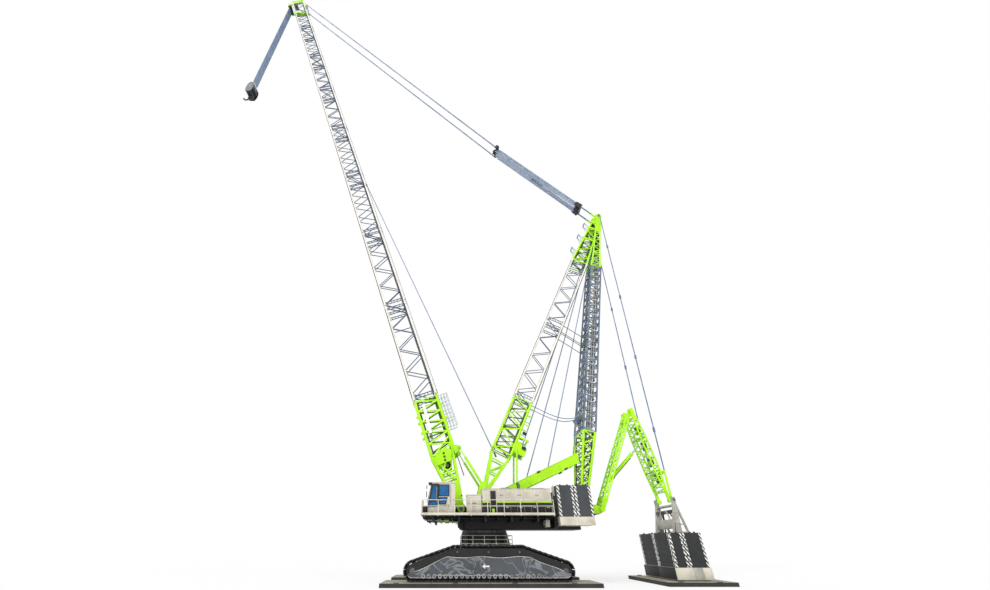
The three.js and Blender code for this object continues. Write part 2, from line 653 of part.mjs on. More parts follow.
/** Rear mast, from the tail of the main frame up to the same head pin. */
function rearMast() {
  const { length, inclination } = span(REAR_MAST_FOOT, MAST_HEAD);
  const lowEnd = 66;
  const baseEnd = 760;
  const topStart = 3060;
  const topEnd = length - 720;
  const leg = box([-36, 36], [-125, -101], [-22, lowEnd + 10]);
  const base = lattice(section(lowEnd, 80, 250),
    section(baseEnd - GAP, REAR_MAST_DEPTH, REAR_MAST_WIDTH), { chord: 24, lacing: 14, bays: 3 });
  const middle = lattice(section(baseEnd, REAR_MAST_DEPTH, REAR_MAST_WIDTH),
    section(topStart - GAP, REAR_MAST_DEPTH, REAR_MAST_TOP_WIDTH), { chord: 16, lacing: 9, bays: 7 });
  const clipBar = plate([[-60, 945], [-102.6, 936.7], [-87.4, 913.3], [-60, 905]], [-180, 180]);
  const top = lattice(section(topStart, REAR_MAST_DEPTH, REAR_MAST_TOP_WIDTH),
    section(topEnd, 110, REAR_MAST_TOP_WIDTH), { chord: 20, lacing: 13, bays: 2 });
  const cheek = plate([[-55, topEnd - 20], [55, topEnd - 20], [34, length + 34],
    [-34, length + 34]], [126, 140]);
  return leaning(REAR_MAST_FOOT, inclination,
    part("rear_mast_base", GREEN, joined([leg, otherSide(leg), base])),
    part("rear_mast_middle", CREAM, middle.add(clipBar)),
    part("rear_mast_head", GREEN, joined([top, cheek, otherSide(cheek)])));
}

// ---------------------------------------------------------------- boom stays and tackle

const STAY = span(STAY_PIN, STAY_BLOCK_PIN);
const TACKLE = span(STAY_BLOCK_PIN, MAST_HEAD);
const BLOCK_END = 90; // from the floating block's pin
const TACKLE_START = TACKLE.length - TACKLE_BLOCK - 55;
const FALL = 4; // half the thickness of a fall of rope

/** Parallel falls of rope at the given places across, tied together at their two ends. */
function falls(places, [from, to]) {
  const ropes = places.map((y) =>
    box([-FALL, FALL], [y - FALL, y + FALL], [from, to]));
  const across = [Math.min(...places), Math.max(...places)];
  const ties = [from + 6, to - 6].map((z) => box([-3, 3], across, [z - 4, z + 4]));
  return joined([...ropes, ...ties]);
}

/** Two pendants on a shared pin at the boom head, and the floating block with its falls. */
function boomStays() {
  const pendant = box([-8, 8], [-106, -94], [-12, STAY.length - 31.5]);
  const headPin = crossBar([0, 0], [-106, 106], 9, 16);
  const block = plate([[-44, -30], [44, -30], [36, BLOCK_END], [-36, BLOCK_END]], [-30, 30]);
  const beam = box([-62, -40], [-106, 106], [-30, 30]);
  const cheek = box([-62, 14], [-106, -84], [-30, 30]);
  const ownFalls = falls([-22, -7, 8, 23], [BLOCK_END - 10, BLOCK_END + 820]);
  const stays = new THREE.Group();
  stays.add(
    leaning(STAY_PIN, STAY.inclination,
      part("boom_pendants", STEEL, joined([pendant, otherSide(pendant), headPin]))),
    leaning(STAY_BLOCK_PIN, TACKLE.inclination,
      part("floating_block", BLACK, joined([block, beam, cheek, otherSide(cheek), ownFalls]))),
  );
  return stays;
}

/** Block on the mast head pin, with its links and the outer falls. */
function tackleBlock() {
  const block = plate([[-36, TACKLE_START], [36, TACKLE_START], [44, TACKLE_START + 110],
    [-44, TACKLE_START + 110]], [-88, 88]);
  const link = box([-9, 9], [-86, -70], [TACKLE_START + 100, TACKLE.length - 26]);
  const outerFalls = falls([-73, -61], [BLOCK_END, TACKLE_START + 10]);
  return leaning(STAY_BLOCK_PIN, TACKLE.inclination, part("tackle_block", BLACK,
    joined([block, link, otherSide(link), outerFalls, otherSide(outerFalls)])));
}

/** Inner falls, which run out from between the outer ones as the boom goes down. */
function tackleFalls() {
  const left = falls([-49, -41], [25, TACKLE_START - 330]);
  const right = falls([41, 49], [25, TACKLE_START - 670]);
  return leaning(STAY_BLOCK_PIN, TACKLE.inclination,
    part("left_falls", STEEL, left), part("right_falls", STEEL, right));
}

// ---------------------------------------------------------------- superlift ballast

/** Folding link: a green lattice leg from the frame's tail, and the leg down to the hanger. */
function lowerLink() {
  const { length, inclination } = span(LINK_ROOT, LINK_APEX);
  const leg = box([-22, 22], [-94, -70], [-18, length + 14]);
  const ties = [150, 420, 690, 960].map((z) => crossBar([0, z], [-80, 80], 10, 8));
  return leaning(LINK_ROOT, inclination,
    part("lower_link", GREEN, joined([leg, otherSide(leg), ...ties])));
}

function upperLink() {
  const { length, inclination } = span(LINK_APEX, HANGER_PIN);
  const leg = box([-16, 16], [-130, -104], [-20, length + 16]);
  const ties = [120, 420, 740].map((z) => crossBar([0, z], [-112, 112], 12, 8));
  return leaning(LINK_APEX, inclination,
    part("upper_link", GREEN, joined([leg, otherSide(leg), ...ties])));
}

/** Cylinder that opens the link: barrel on the lower leg, rod to the upper leg. */
function linkCylinder() {
  const { length, inclination } = span(LINK_CYLINDER_PIN, LINK_ROD_PIN);
  const barrelEnd = 425;
  const barrel = bar([0, 0, 34], [0, 0, barrelEnd], 17, 12)
    .subtract(bar([0, 0, 110], [0, 0, barrelEnd + 10], 12.5, 12));
  const rod = bar([0, 0, length - 420], [0, 0, length - 34], 8, 10);
  return {
    barrel: leaning(LINK_CYLINDER_PIN, inclination, part("link_cylinder", GREEN, barrel)),
    rod: leaning(LINK_CYLINDER_PIN, inclination, part("link_rod", STEEL, rod)),
  };
}

/** Pendants from the mast head down to the ballast hanger. */
function ballastPendants() {
  const { length, inclination } = span(MAST_HEAD, HANGER_PIN);
  const pendant = box([-7, 7], [-170, -156], [14, length - 20]);
  const spreader = box([-7, 7], [-170, 170], [length - 270, length - 246]);
  return leaning(MAST_HEAD, inclination,
    part("ballast_pendants", STEEL, joined([pendant, otherSide(pendant), spreader])));
}

/** Ballast tray with the hanger's arms, and its two stacks of slabs. */
function hangingBallast() {
  const bottom = MAT_TOP + BALLAST_CLEARANCE;
  const tray = box([BALLAST_X[0] - 15, BALLAST_X[1] + 15],
    [-BALLAST_HALF_WIDTH, BALLAST_HALF_WIDTH], [bottom, BALLAST_TRAY_TOP]);
  const arm = plate([[1780, 120], [1850, 120], [1884, 660], [1884, 700], [1846, 700], [1846, 660]],
    [-200, -178]);
  const crossing = crossBar([1865, 628], [-190, 190], 12, 10);
  const hanger = joined([tray, arm, otherSide(arm), crossing]);
  const middle = (BALLAST_X[0] + BALLAST_X[1]) / 2;
  const slabs = slabStack(BALLAST_X, [-BALLAST_HALF_WIDTH, BALLAST_HALF_WIDTH],
    [BALLAST_TRAY_TOP + GAP, BALLAST_TOP], 6);
  const slots = [-1, 1].map((side) => box([middle - 60, middle + 80],
    [side * 189 - 13, side * 189 + 13], [100, BALLAST_TOP + 10]));
  return [
    part("ballast_hanger", SLATE, hanger),
    part("ballast_slabs", SLATE, slabs.subtract(joined(slots))),
  ];
}

// ---------------------------------------------------------------- slack cables

// Ends of the cables, and the points that pull their slack loop down
const CABLE_ROUTE = [[591.4, 1647.2], [761.5, 1562.4], [918.1, 1453.8], [1105.8, 1522.4]];

/** Loose cables from the superlift mast's rear face to the clip bar of the rear mast. */
function slackCables() {
  return [-1, 1].map((side) => {
    const points = CABLE_ROUTE.map(([x, z]) => new THREE.Vector3(x, side * 60, z));
    const curve = new THREE.CubicBezierCurve3(...points);
    const ring = Array.from({ length: 8 }, (_, k) => {
      const angle = (2 * Math.PI * k) / 8;
      return [4 * Math.cos(angle), 4 * Math.sin(angle)];
    });
    const geometry = new THREE.ExtrudeGeometry(outline(ring), {
      extrudePath: curve, steps: 30, bevelEnabled: false,
    });
    return part(`${side < 0 ? "left" : "right"}_slack_cable`, BLACK, solid(geometry));
  });
}

// ---------------------------------------------------------------- the crane

const { barrels, rods } = backstops();
const { barrel, rod } = linkCylinder();

const crane = new THREE.Group();
crane.add(
  ...crawlers(), ballastMat(), carbody(),
  mainFrame(), ...decks(), cab(), cabDoor(), cabinet(), ...houses(), engine(), ...bodyBallast(),
  boom(), hookRopes(), hookBlock(), backstopFrame(), barrels, rods,
  superliftMast(), backStrut(), rearMast(),
  boomStays(), tackleBlock(), tackleFalls(),
  lowerLink(), upperLink(), barrel, rod, ballastPendants(), ...hangingBallast(),
  ...slackCables(),
);

export default crane;
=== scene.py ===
import math

import bpy
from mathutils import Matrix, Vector


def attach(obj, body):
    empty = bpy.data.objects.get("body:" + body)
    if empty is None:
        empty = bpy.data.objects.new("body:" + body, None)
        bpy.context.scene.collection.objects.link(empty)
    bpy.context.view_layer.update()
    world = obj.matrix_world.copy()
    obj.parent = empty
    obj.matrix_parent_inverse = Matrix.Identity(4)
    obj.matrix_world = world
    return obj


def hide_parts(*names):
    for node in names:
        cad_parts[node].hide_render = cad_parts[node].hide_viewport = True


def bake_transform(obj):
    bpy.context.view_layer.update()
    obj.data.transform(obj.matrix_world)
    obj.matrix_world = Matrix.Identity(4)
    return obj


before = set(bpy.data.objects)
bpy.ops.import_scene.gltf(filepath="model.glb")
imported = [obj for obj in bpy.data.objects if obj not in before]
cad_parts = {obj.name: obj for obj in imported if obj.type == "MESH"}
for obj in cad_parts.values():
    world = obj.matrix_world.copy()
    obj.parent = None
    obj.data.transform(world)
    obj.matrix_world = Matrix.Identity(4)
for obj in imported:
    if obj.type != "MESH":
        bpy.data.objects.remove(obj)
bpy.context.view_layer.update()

# Camera: stands on the floor in front of the crane's cab side and looks up at the boom.
# A wide lens, shifted sideways so that the boom and the hanging ballast are both in view.
eye = bpy.data.cameras.new("eye")
eye.sensor_width = 36
eye.lens = 14.36
eye.shift_x = 0.0414
eye.clip_end = 200
camera = bpy.data.objects.new("camera", eye)
camera.location = (-0.3, -4.57, 0.3)
camera.rotation_euler = (math.radians(90 + 32.3), 0, 0)
bpy.context.scene.collection.objects.link(camera)
bpy.context.scene.camera = camera

# Slack cables: two blue-grey sheathed control cables that hang in a loop between the
# superlift mast and the rear mast. Each end meets the lattice or clip bar of its mast.
CABLE_RADIUS = 0.004
CABLE_Y = 0.06
CABLE_FROM = (0.5914, 1.6472)
CABLE_FROM_PULL = (0.7615, 1.5624)
CABLE_TO_PULL = (0.9181, 1.4538)
CABLE_TO = (1.1058, 1.5224)


def deselect():
    bpy.ops.object.select_all(action="DESELECT")


def only(piece):
    deselect()
    piece.select_set(True)
    bpy.context.view_layer.objects.active = piece


def linear(colour):
    """A screen colour such as "B0F500" as the linear values that a shader takes."""
    parts = [int(colour[k:k + 2], 16) / 255 for k in (0, 2, 4)]
    return tuple(c / 12.92 if c < 0.04045 else ((c + 0.055) / 1.055) ** 2.4 for c in parts) + (1.0,)


def noise(tree, scale, detail, **more):
    """A cloudy pattern that lies over a piece in the piece's own coordinates."""
    place = tree.nodes.new("ShaderNodeTexCoord")
    clouds = tree.nodes.new("ShaderNodeTexNoise")
    for setting, value in {"Scale": scale, "Detail": detail, **more}.items():
        clouds.inputs[setting].default_value = value
    tree.links.new(place.outputs["Object"], clouds.inputs["Vector"])
    return clouds.outputs["Fac"]


def coating(name, colour, worn, roughness, metallic=0.0, patch=3.0, grain=160.0, relief=0.12,
            speckle=0.62):
    """Paint, rubber or metal: its colour with cloudy patches of a worn shade, an uneven
    gloss and a fine grain in its surface."""
    made = bpy.data.materials.new(name)
    made.use_nodes = True
    tree = made.node_tree
    shader = tree.nodes["Principled BSDF"]
    shader.inputs["Metallic"].default_value = metallic
    clouds = noise(tree, patch, 8, Roughness=0.65)
    shades = tree.nodes.new("ShaderNodeValToRGB")
    ramp = shades.color_ramp.elements
    ramp[0].position, ramp[0].color = 1 - speckle - 0.06, linear(worn)
    ramp[1].position, ramp[1].color = speckle - 0.04, linear(colour)
    tree.links.new(clouds, shades.inputs["Fac"])
    tree.links.new(shades.outputs["Color"], shader.inputs["Base Color"])
    gloss = tree.nodes.new("ShaderNodeMapRange")
    gloss.inputs["To Min"].default_value = min(1.0, roughness + 0.14)
    gloss.inputs["To Max"].default_value = max(0.05, roughness - 0.1)
    tree.links.new(clouds, gloss.inputs["Value"])
    tree.links.new(gloss.outputs["Result"], shader.inputs["Roughness"])
    bump = tree.nodes.new("ShaderNodeBump")
    bump.inputs["Strength"].default_value = relief
    bump.inputs["Distance"].default_value = 0.001
    tree.links.new(noise(tree, grain, 3), bump.inputs["Height"])
    tree.links.new(bump.outputs["Normal"], shader.inputs["Normal"])
    return made


def paint(piece, material):
    piece.data.materials.clear()
    piece.data.materials.append(material)
    return piece


def paint_nodes(material, *names):
    for name in names:
        paint(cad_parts[name], material)


cable_sheath = coating("cable_sheath", "5F7CA3", "43597A", 0.55, patch=9.0, grain=400.0)
for side, hand in ((-1, "left"), (1, "right")):
    deselect()
    bpy.ops.curve.primitive_bezier_curve_add()
    cable = bpy.context.object
    cable.data.dimensions = "3D"
    first, last = cable.data.splines[0].bezier_points
    for point in (first, last):
        point.handle_left_type = "FREE"
        point.handle_right_type = "FREE"
    first.co = (CABLE_FROM[0], side * CABLE_Y, CABLE_FROM[1])
    first.handle_right = (CABLE_FROM_PULL[0], side * CABLE_Y, CABLE_FROM_PULL[1])
    first.handle_left = 2 * first.co - first.handle_right
    last.co = (CABLE_TO[0], side * CABLE_Y, CABLE_TO[1])
    last.handle_left = (CABLE_TO_PULL[0], side * CABLE_Y, CABLE_TO_PULL[1])
    last.handle_right = 2 * last.co - last.handle_left
    bpy.ops.object.mode_set(mode="EDIT")
    bpy.ops.curve.select_all(action="SELECT")
    bpy.ops.curve.subdivide(number_cuts=18)
    bpy.ops.object.mode_set(mode="OBJECT")
    cable.data.resolution_u = 4
    cable.data.bevel_depth = CABLE_RADIUS
    cable.data.bevel_resolution = 3
    cable.data.use_fill_caps = True
    cable.name = f"{hand}_cable"
    cable.data.materials.append(cable_sheath)
    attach(cable, "superstructure")
    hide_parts(f"{hand}_slack_cable")

# Floor and light: a plain pale floor under a white surround, two broad soft lamps like a
# bright overcast sky, and nothing else.
BRIGHT_SHARE = 0.72


def computed(tree, operation, *values):
    """The result of a maths node, fed with other nodes' outputs or plain numbers."""
    node = tree.nodes.new("ShaderNodeMath")
    node.operation = operation
    for socket, value in zip(node.inputs, values):
        if isinstance(value, float):
            socket.default_value = value
        else:
            tree.links.new(value, socket)
    return node.outputs[0]


def looked_at(tree):
    """One where the camera sees a surface straight or in a reflection, and zero elsewhere."""
    ray = tree.nodes.new("ShaderNodeLightPath").outputs
    return ray, computed(tree, "MAXIMUM", ray["Is Camera Ray"], ray["Is Glossy Ray"])


def brightened(tree, share, plain, bright, output):
    """Shows a bright shader instead of the plain one by a share."""
    blend = tree.nodes.new("ShaderNodeMixShader")
    for socket, value in zip(blend.inputs, (share, plain.outputs[0], bright.outputs[0])):
        tree.links.new(value, socket)
    tree.links.new(blend.outputs[0], tree.nodes[output].inputs["Surface"])


deselect()
bpy.ops.mesh.primitive_plane_add(size=400, location=(0, 0, -0.001))
floor = bpy.context.object
floor.name = "floor"
bpy.ops.object.mode_set(mode="EDIT")
bpy.ops.mesh.subdivide(number_cuts=4)
bpy.ops.object.mode_set(mode="OBJECT")
pale = bpy.data.materials.new("pale_floor")
pale.use_nodes = True
tree = pale.node_tree
matte = tree.nodes["Principled BSDF"]
matte.inputs["Base Color"].default_value = (0.86, 0.86, 0.86, 1)
matte.inputs["Roughness"].default_value = 0.9
_, seen = looked_at(tree)
brightened(tree, computed(tree, "MULTIPLY", seen, BRIGHT_SHARE), matte,
           tree.nodes.new("ShaderNodeEmission"), "Material Output")
paint(floor, pale)

world = bpy.data.worlds.new("surround")
world.use_nodes = True
bpy.context.scene.world = world
tree = world.node_tree
sky = tree.nodes["Background"]
backdrop = tree.nodes.new("ShaderNodeBackground")
for light in (sky, backdrop):
    light.inputs["Color"].default_value = (1, 1, 1, 1)
sky.inputs["Strength"].default_value = 0.62
ray, seen = looked_at(tree)
brightened(tree, computed(tree, "MAXIMUM", seen, ray["Is Transmission Ray"]), sky, backdrop,
           "World Output")

for name, strength, lean, turn in (("main_lamp", 2.0, 48, -35), ("fill_lamp", 0.6, 60, 50)):
    lamp = bpy.data.lights.new(name, "SUN")
    lamp.energy = strength
    lamp.angle = math.radians(25)
    holder = bpy.data.objects.new(name, lamp)
    holder.rotation_euler = (math.radians(lean), 0, math.radians(turn))
    bpy.context.scene.collection.objects.link(holder)
bpy.context.scene.view_settings.view_transform = "Standard"

# Ground mats: rolled steel plates bolted edge to edge under each crawler and under the
# hanging ballast, black on their edges and pale on their top face.
MAT_TOP = 0.03
MAT_PLATE = 0.49


def places(made):
    """The sockets of a material's x, y and z, in the piece's own coordinates."""
    tree = made.node_tree
    place = tree.nodes.new("ShaderNodeTexCoord")
    split = tree.nodes.new("ShaderNodeSeparateXYZ")
    tree.links.new(place.outputs["Object"], split.inputs[0])
    return split.outputs


def overlay(made, share, colour, under=False):
    """Mixes a second colour over a coating by a share or, if under, the coating over it."""
    tree = made.node_tree
    base = tree.nodes["Principled BSDF"].inputs["Base Color"]
    mix = tree.nodes.new("ShaderNodeMix")
    mix.data_type = "RGBA"
    mix.inputs["A" if under else "B"].default_value = linear(colour)
    tree.links.new(share, mix.inputs["Factor"])
    tree.links.new(base.links[0].from_socket, mix.inputs["B" if under else "A"])
    tree.links.new(mix.outputs["Result"], base)
    return made


def mat_steel():
    """Black plate with a pale top face, and the joints between the plates as dark lines."""
    made = coating("mat_steel", "2B2A28", "1E1D1C", 0.75, patch=7.0, grain=90.0, relief=0.35)
    tree = made.node_tree
    x, _, z = places(made)
    overlay(made, computed(tree, "GREATER_THAN", z, MAT_TOP - 0.0004), "958F80")
    seam = computed(tree, "GREATER_THAN", computed(tree, "PINGPONG", x, MAT_PLATE / 2), 0.0022)
    return overlay(made, seam, "151514", under=True)


paint_nodes(mat_steel(), "left_track_mat", "right_track_mat", "ballast_mat")


def open_mesh():
    bpy.ops.object.mode_set(mode="EDIT")
    bpy.ops.mesh.select_all(action="SELECT")


def close_mesh():
    bpy.ops.object.mode_set(mode="OBJECT")


def settle(piece):
    """Writes a piece's place, turn and size into its mesh, and leaves its origin at zero."""
    only(piece)
    bpy.ops.object.transform_apply(location=True, rotation=True, scale=True)
    return piece


def block(x, y, z, material, bevel=0.0):
    """A box between two corners, with its edges rounded over."""
    deselect()
    bpy.ops.mesh.primitive_cube_add(size=1, location=((x[0] + x[1]) / 2, (y[0] + y[1]) / 2,
                                                      (z[0] + z[1]) / 2))
    piece = bpy.context.object
    piece.scale = (x[1] - x[0], y[1] - y[0], z[1] - z[0])
    settle(piece)
    if bevel:
        bpy.ops.object.mode_set(mode="EDIT")
        bpy.ops.mesh.bevel(offset=bevel, segments=2, affect="EDGES")
        close_mesh()
    return paint(piece, material)


def tube(start, end, radius, material, sides=8):
    """A round bar from one point to another."""
    start, end = Vector(start), Vector(end)
    run = end - start
    deselect()
    bpy.ops.mesh.primitive_cylinder_add(vertices=sides, radius=radius, depth=run.length,
                                        location=(start + end) / 2,
                                        rotation=run.to_track_quat("Z", "Y").to_euler())
    return paint(settle(bpy.context.object), material)


def across(x, y, z, radius, material, sides=8):
    """A round bar across the machine, from one y to another."""
    return tube((x, y[0], z), (x, y[1], z), radius, material, sides)


def upright(x, y, z, radius, material, sides=8):
    """A round bar from one z to another."""
    return tube((x, y, z[0]), (x, y, z[1]), radius, material, sides)


def plate(points, y, material, bevel=0.0):
    """A side outline of (x, z) points, extruded across from one y to the other."""
    deselect()
    bpy.ops.mesh.primitive_circle_add(vertices=len(points), fill_type="NGON")
    piece = bpy.context.object
    for vertex, (x, z) in zip(piece.data.vertices, points):
        vertex.co = (x, y[0], z)
    open_mesh()
    bpy.ops.mesh.extrude_region_move(TRANSFORM_OT_translate={"value": (0, y[1] - y[0], 0)})
    bpy.ops.mesh.select_all(action="SELECT")
    bpy.ops.mesh.normals_make_consistent(inside=False)
    if bevel:
        bpy.ops.mesh.bevel(offset=bevel, segments=1, affect="EDGES")
    close_mesh()
    return paint(piece, material)


def joined(pieces):
    deselect()
    for piece in pieces:
        piece.select_set(True)
    bpy.context.view_layer.objects.active = pieces[0]
    if len(pieces) > 1:
        bpy.ops.object.join()
    return pieces[0]


def repeat(piece, count, step):
    """The piece again and again, each one a step further."""
    only(piece)
    array = piece.modifiers.new("repeat", "ARRAY")
    array.count = count
    array.use_relative_offset = False
    array.use_constant_offset = True
    array.constant_offset_displace = step
    bpy.ops.object.modifier_apply(modifier="repeat")
    return piece


def both_sides(piece):
    """The piece and its mirror image on the other side of the machine."""
    only(piece)
    mirror = piece.modifiers.new("both", "MIRROR")
    mirror.use_axis = (False, True, False)
    mirror.use_mirror_merge = False
    bpy.ops.object.modifier_apply(modifier="both")
    return piece


def fit(pieces, name, body, slot, *stands_for, smooth=35):
    """Joins finished pieces into one, names it and puts it on its body."""
    piece = joined(pieces)
    bpy.ops.object.shade_smooth_by_angle(angle=math.radians(smooth))
    piece.name = name
    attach(piece, body)
    if stands_for:
        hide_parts(*stands_for)


def fit_pair(pieces, *where):
    """Fits pieces together with their mirror images on the other side."""
    fit([both_sides(joined(pieces))], *where)


mat_edge = coating("mat_edge", "2B2A28", "46443F", 0.7, patch=9.0)
for name, y, starts in (("mat_lifting_lugs", (-0.56, -0.548), (-0.8, -0.31, 0.18, 0.67)),
                        ("ballast_mat_lugs", (-0.45, -0.438), (1.6, 1.93))):
    lugs = [block((x, x + 0.045), y, (0.0295, 0.035), mat_edge, 0.0015) for x in starts]
    fit_pair(lugs, name, "carrier", "mat_steel")

# Crawler tracks: cast steel shoes pinned together in an endless chain, each with two rails
# for the rollers inside and a raised bar outside. The cast surface is black and bare.
SHOES = 64
TUMBLER = (0.655, 0.1104)
TOP_ROLLER = (0.3, 0.27)
IDLER = 0.05
SHOE_DEPTH = 0.012
TUMBLER_RUN = 0.08 - SHOE_DEPTH
ROLLER_RUN = 0.03 - SHOE_DEPTH
cast_steel = coating("track_cast_steel", "1A1A1B", "34322F", 0.55, metallic=0.35, patch=14.0,
                     grain=240.0, relief=0.4, speckle=0.56)
pin_steel = coating("track_pin_steel", "6E6F70", "3B3A38", 0.42, metallic=0.7, patch=22.0)

reach = math.hypot(TUMBLER[0] - TOP_ROLLER[0], TUMBLER[1] - TOP_ROLLER[1])
slope = math.atan2(TUMBLER[1] - TOP_ROLLER[1], TUMBLER[0] - TOP_ROLLER[0])
lean = slope + math.acos((ROLLER_RUN - TUMBLER_RUN) / reach)
straight = math.sqrt(reach ** 2 - (TUMBLER_RUN - ROLLER_RUN) ** 2)
runs = (TUMBLER[0], TUMBLER_RUN * (lean + math.pi / 2), straight, ROLLER_RUN * (math.pi / 2 - lean),
        TOP_ROLLER[0])
half_loop = sum(runs)


def on_track(distance):
    """Place and outward angle on the right half of the loop, from its middle below."""
    bottom, bend, rise, crown, _ = runs
    if distance < bottom:
        return distance, TUMBLER[1] - TUMBLER_RUN, -math.pi / 2
    distance -= bottom
    if distance < bend:
        angle = -math.pi / 2 + distance / TUMBLER_RUN
        return (TUMBLER[0] + TUMBLER_RUN * math.cos(angle),
                TUMBLER[1] + TUMBLER_RUN * math.sin(angle), angle)
    distance -= bend
    if distance < rise:
        return (TUMBLER[0] + TUMBLER_RUN * math.cos(lean) - distance * math.sin(lean),
                TUMBLER[1] + TUMBLER_RUN * math.sin(lean) + distance * math.cos(lean), lean)
    distance -= rise
    if distance < crown:
        angle = lean + distance / ROLLER_RUN
        return (TOP_ROLLER[0] + ROLLER_RUN * math.cos(angle),
                TOP_ROLLER[1] + ROLLER_RUN * math.sin(angle), angle)
    distance -= crown
    return TOP_ROLLER[0] - distance, TOP_ROLLER[1] + ROLLER_RUN, math.pi / 2


pitch = 2 * half_loop / SHOES
half = pitch / 2
pattern = joined([block((-0.0005, 0.01), (-0.47, -0.27), (-half + 0.0015, half - 0.0015),
                        cast_steel, 0.002),
                  block((0.006, 0.012), (-0.466, -0.274), (-0.006, 0.006), cast_steel),
                  block((-0.012, 0.001), (-0.42, -0.4), (-half + 0.002, half - 0.002), cast_steel),
                  block((-0.012, 0.001), (-0.34, -0.32), (-half + 0.002, half - 0.002), cast_steel),
                  across(0.002, (-0.4735, -0.468), half - 0.001, 0.0042, pin_steel, 6)])
shoes = []
for k in range(SHOES):
    distance = (k + 0.5) * pitch
    side = 1
    if distance > half_loop:
        distance = 2 * half_loop - distance
        side = -1
    x, z, angle = on_track(distance)
    only(pattern)
    bpy.ops.object.duplicate()
    shoe = bpy.context.object
    shoe.rotation_euler = (0, -angle if side == 1 else -(math.pi - angle), 0)
    shoe.location = (side * x, 0, z)
    shoes.append(settle(shoe))
bpy.data.objects.remove(pattern)
chain = joined(shoes)
only(chain)
bpy.ops.object.duplicate()
other = bpy.context.object
other.location = (0, 0.74, 0)
settle(other)
fit([chain], "left_track_shoes", "carrier", "track_steel", "left_track")
fit([other], "right_track_shoes", "carrier", "track_steel", "right_track")

# Track frames: black welded box beams inside the loops, with a row of small rollers that
# runs on the chain, an idler at each end and three carrier rollers above.
frame_black = coating("frame_black", "0C0D0E", "1C1D1E", 0.5, metallic=0.2, patch=5.0)
paint_nodes(frame_black, "left_track_frame", "right_track_frame")
# Pale bare steel for the rollers, made lighter than the steel is to stand for their glints: partly
# painted highlight.
roller_steel_and_highlight = coating("roller_steel_and_highlight", "A6A7A6", "5C5A57", 0.35, metallic=0.4, patch=30.0)
roller = joined([across(-0.56, (-0.4745, -0.455), 0.0735, 0.0165, roller_steel_and_highlight, 14),
                 across(-0.56, (-0.4765, -0.474), 0.0735, 0.008, pin_steel, 10)])
fit_pair([repeat(roller, 25, (0.0467, 0, 0))], "track_rollers", "carrier", "track_steel")
ends = []
for x, z, radius in ((-TUMBLER[0], TUMBLER[1], IDLER), (TUMBLER[0], TUMBLER[1], IDLER),
                     (-0.27, 0.245, 0.02), (0.27, 0.245, 0.02), (0.0, 0.245, 0.02)):
    ends += [across(x, (-0.4705, -0.455), z, radius, frame_black, 24),
             across(x, (-0.4735, -0.47), z, radius * 0.45, pin_steel, 16)]
fit_pair(ends, "idlers_and_carrier_rollers", "carrier", "track_steel")

# Track covers: grey tarpaulins hung over the outer side of each track frame. The cloth is
# coated and a little slack, gathered in shallow folds, with a bright welt along its top.
COVER_END = 0.702
COVER_LEVEL = 0.2135
COVER_SHOULDER = 0.36
COVER_FALL = 0.372


def end_round(x):
    """How far the rounded end of the track frame reaches above and below its idler's axle."""
    return math.sqrt(max(0.0, IDLER ** 2 - max(0.0, abs(x) - TUMBLER[0]) ** 2))


def cover_top(x):
    """Height of the tarpaulin's upper edge, which dips between its fixings."""
    scallop = 0.01 * abs(math.sin(x * 9.5 + 0.6)) ** 1.5
    slope_line = COVER_LEVEL - max(0.0, abs(x) - COVER_SHOULDER) * COVER_FALL
    round_end = TUMBLER[1] + end_round(x)
    if abs(x) < TUMBLER[0]:
        return min(COVER_LEVEL, slope_line) - scallop
    return min(slope_line, round_end)


def cover_bottom(x):
    """Height of its lower edge, which is lifted a little over the bottom rollers."""
    lift = 0.02 if -0.47 < x < 0.17 else 0.002
    return TUMBLER[1] - end_round(x) + lift * min(1.0, (0.69 - abs(x)) / 0.05)


def creased_cloth(name):
    """Grey coated cloth, with a painted highlight along the ridges of its creases."""
    made = coating(name, "4A4F55", "3A3E43", 0.36, patch=4.0, grain=26.0, relief=1.0)
    tree = made.node_tree
    ridges = noise(tree, 5.5, 3.0, Distortion=1.2)
    # Pale colour along the ridges of the creases: painted highlight.
    crease_highlight = tree.nodes.new("ShaderNodeMapRange")
    for setting, value in (("From Max", 0.034), ("To Min", 0.42), ("To Max", 0.0)):
        crease_highlight.inputs[setting].default_value = value
    fold = computed(tree, "ABSOLUTE", computed(tree, "SUBTRACT", ridges, 0.5))
    tree.links.new(fold, crease_highlight.inputs["Value"])
    return overlay(made, crease_highlight.outputs["Result"], "A9AFB5")


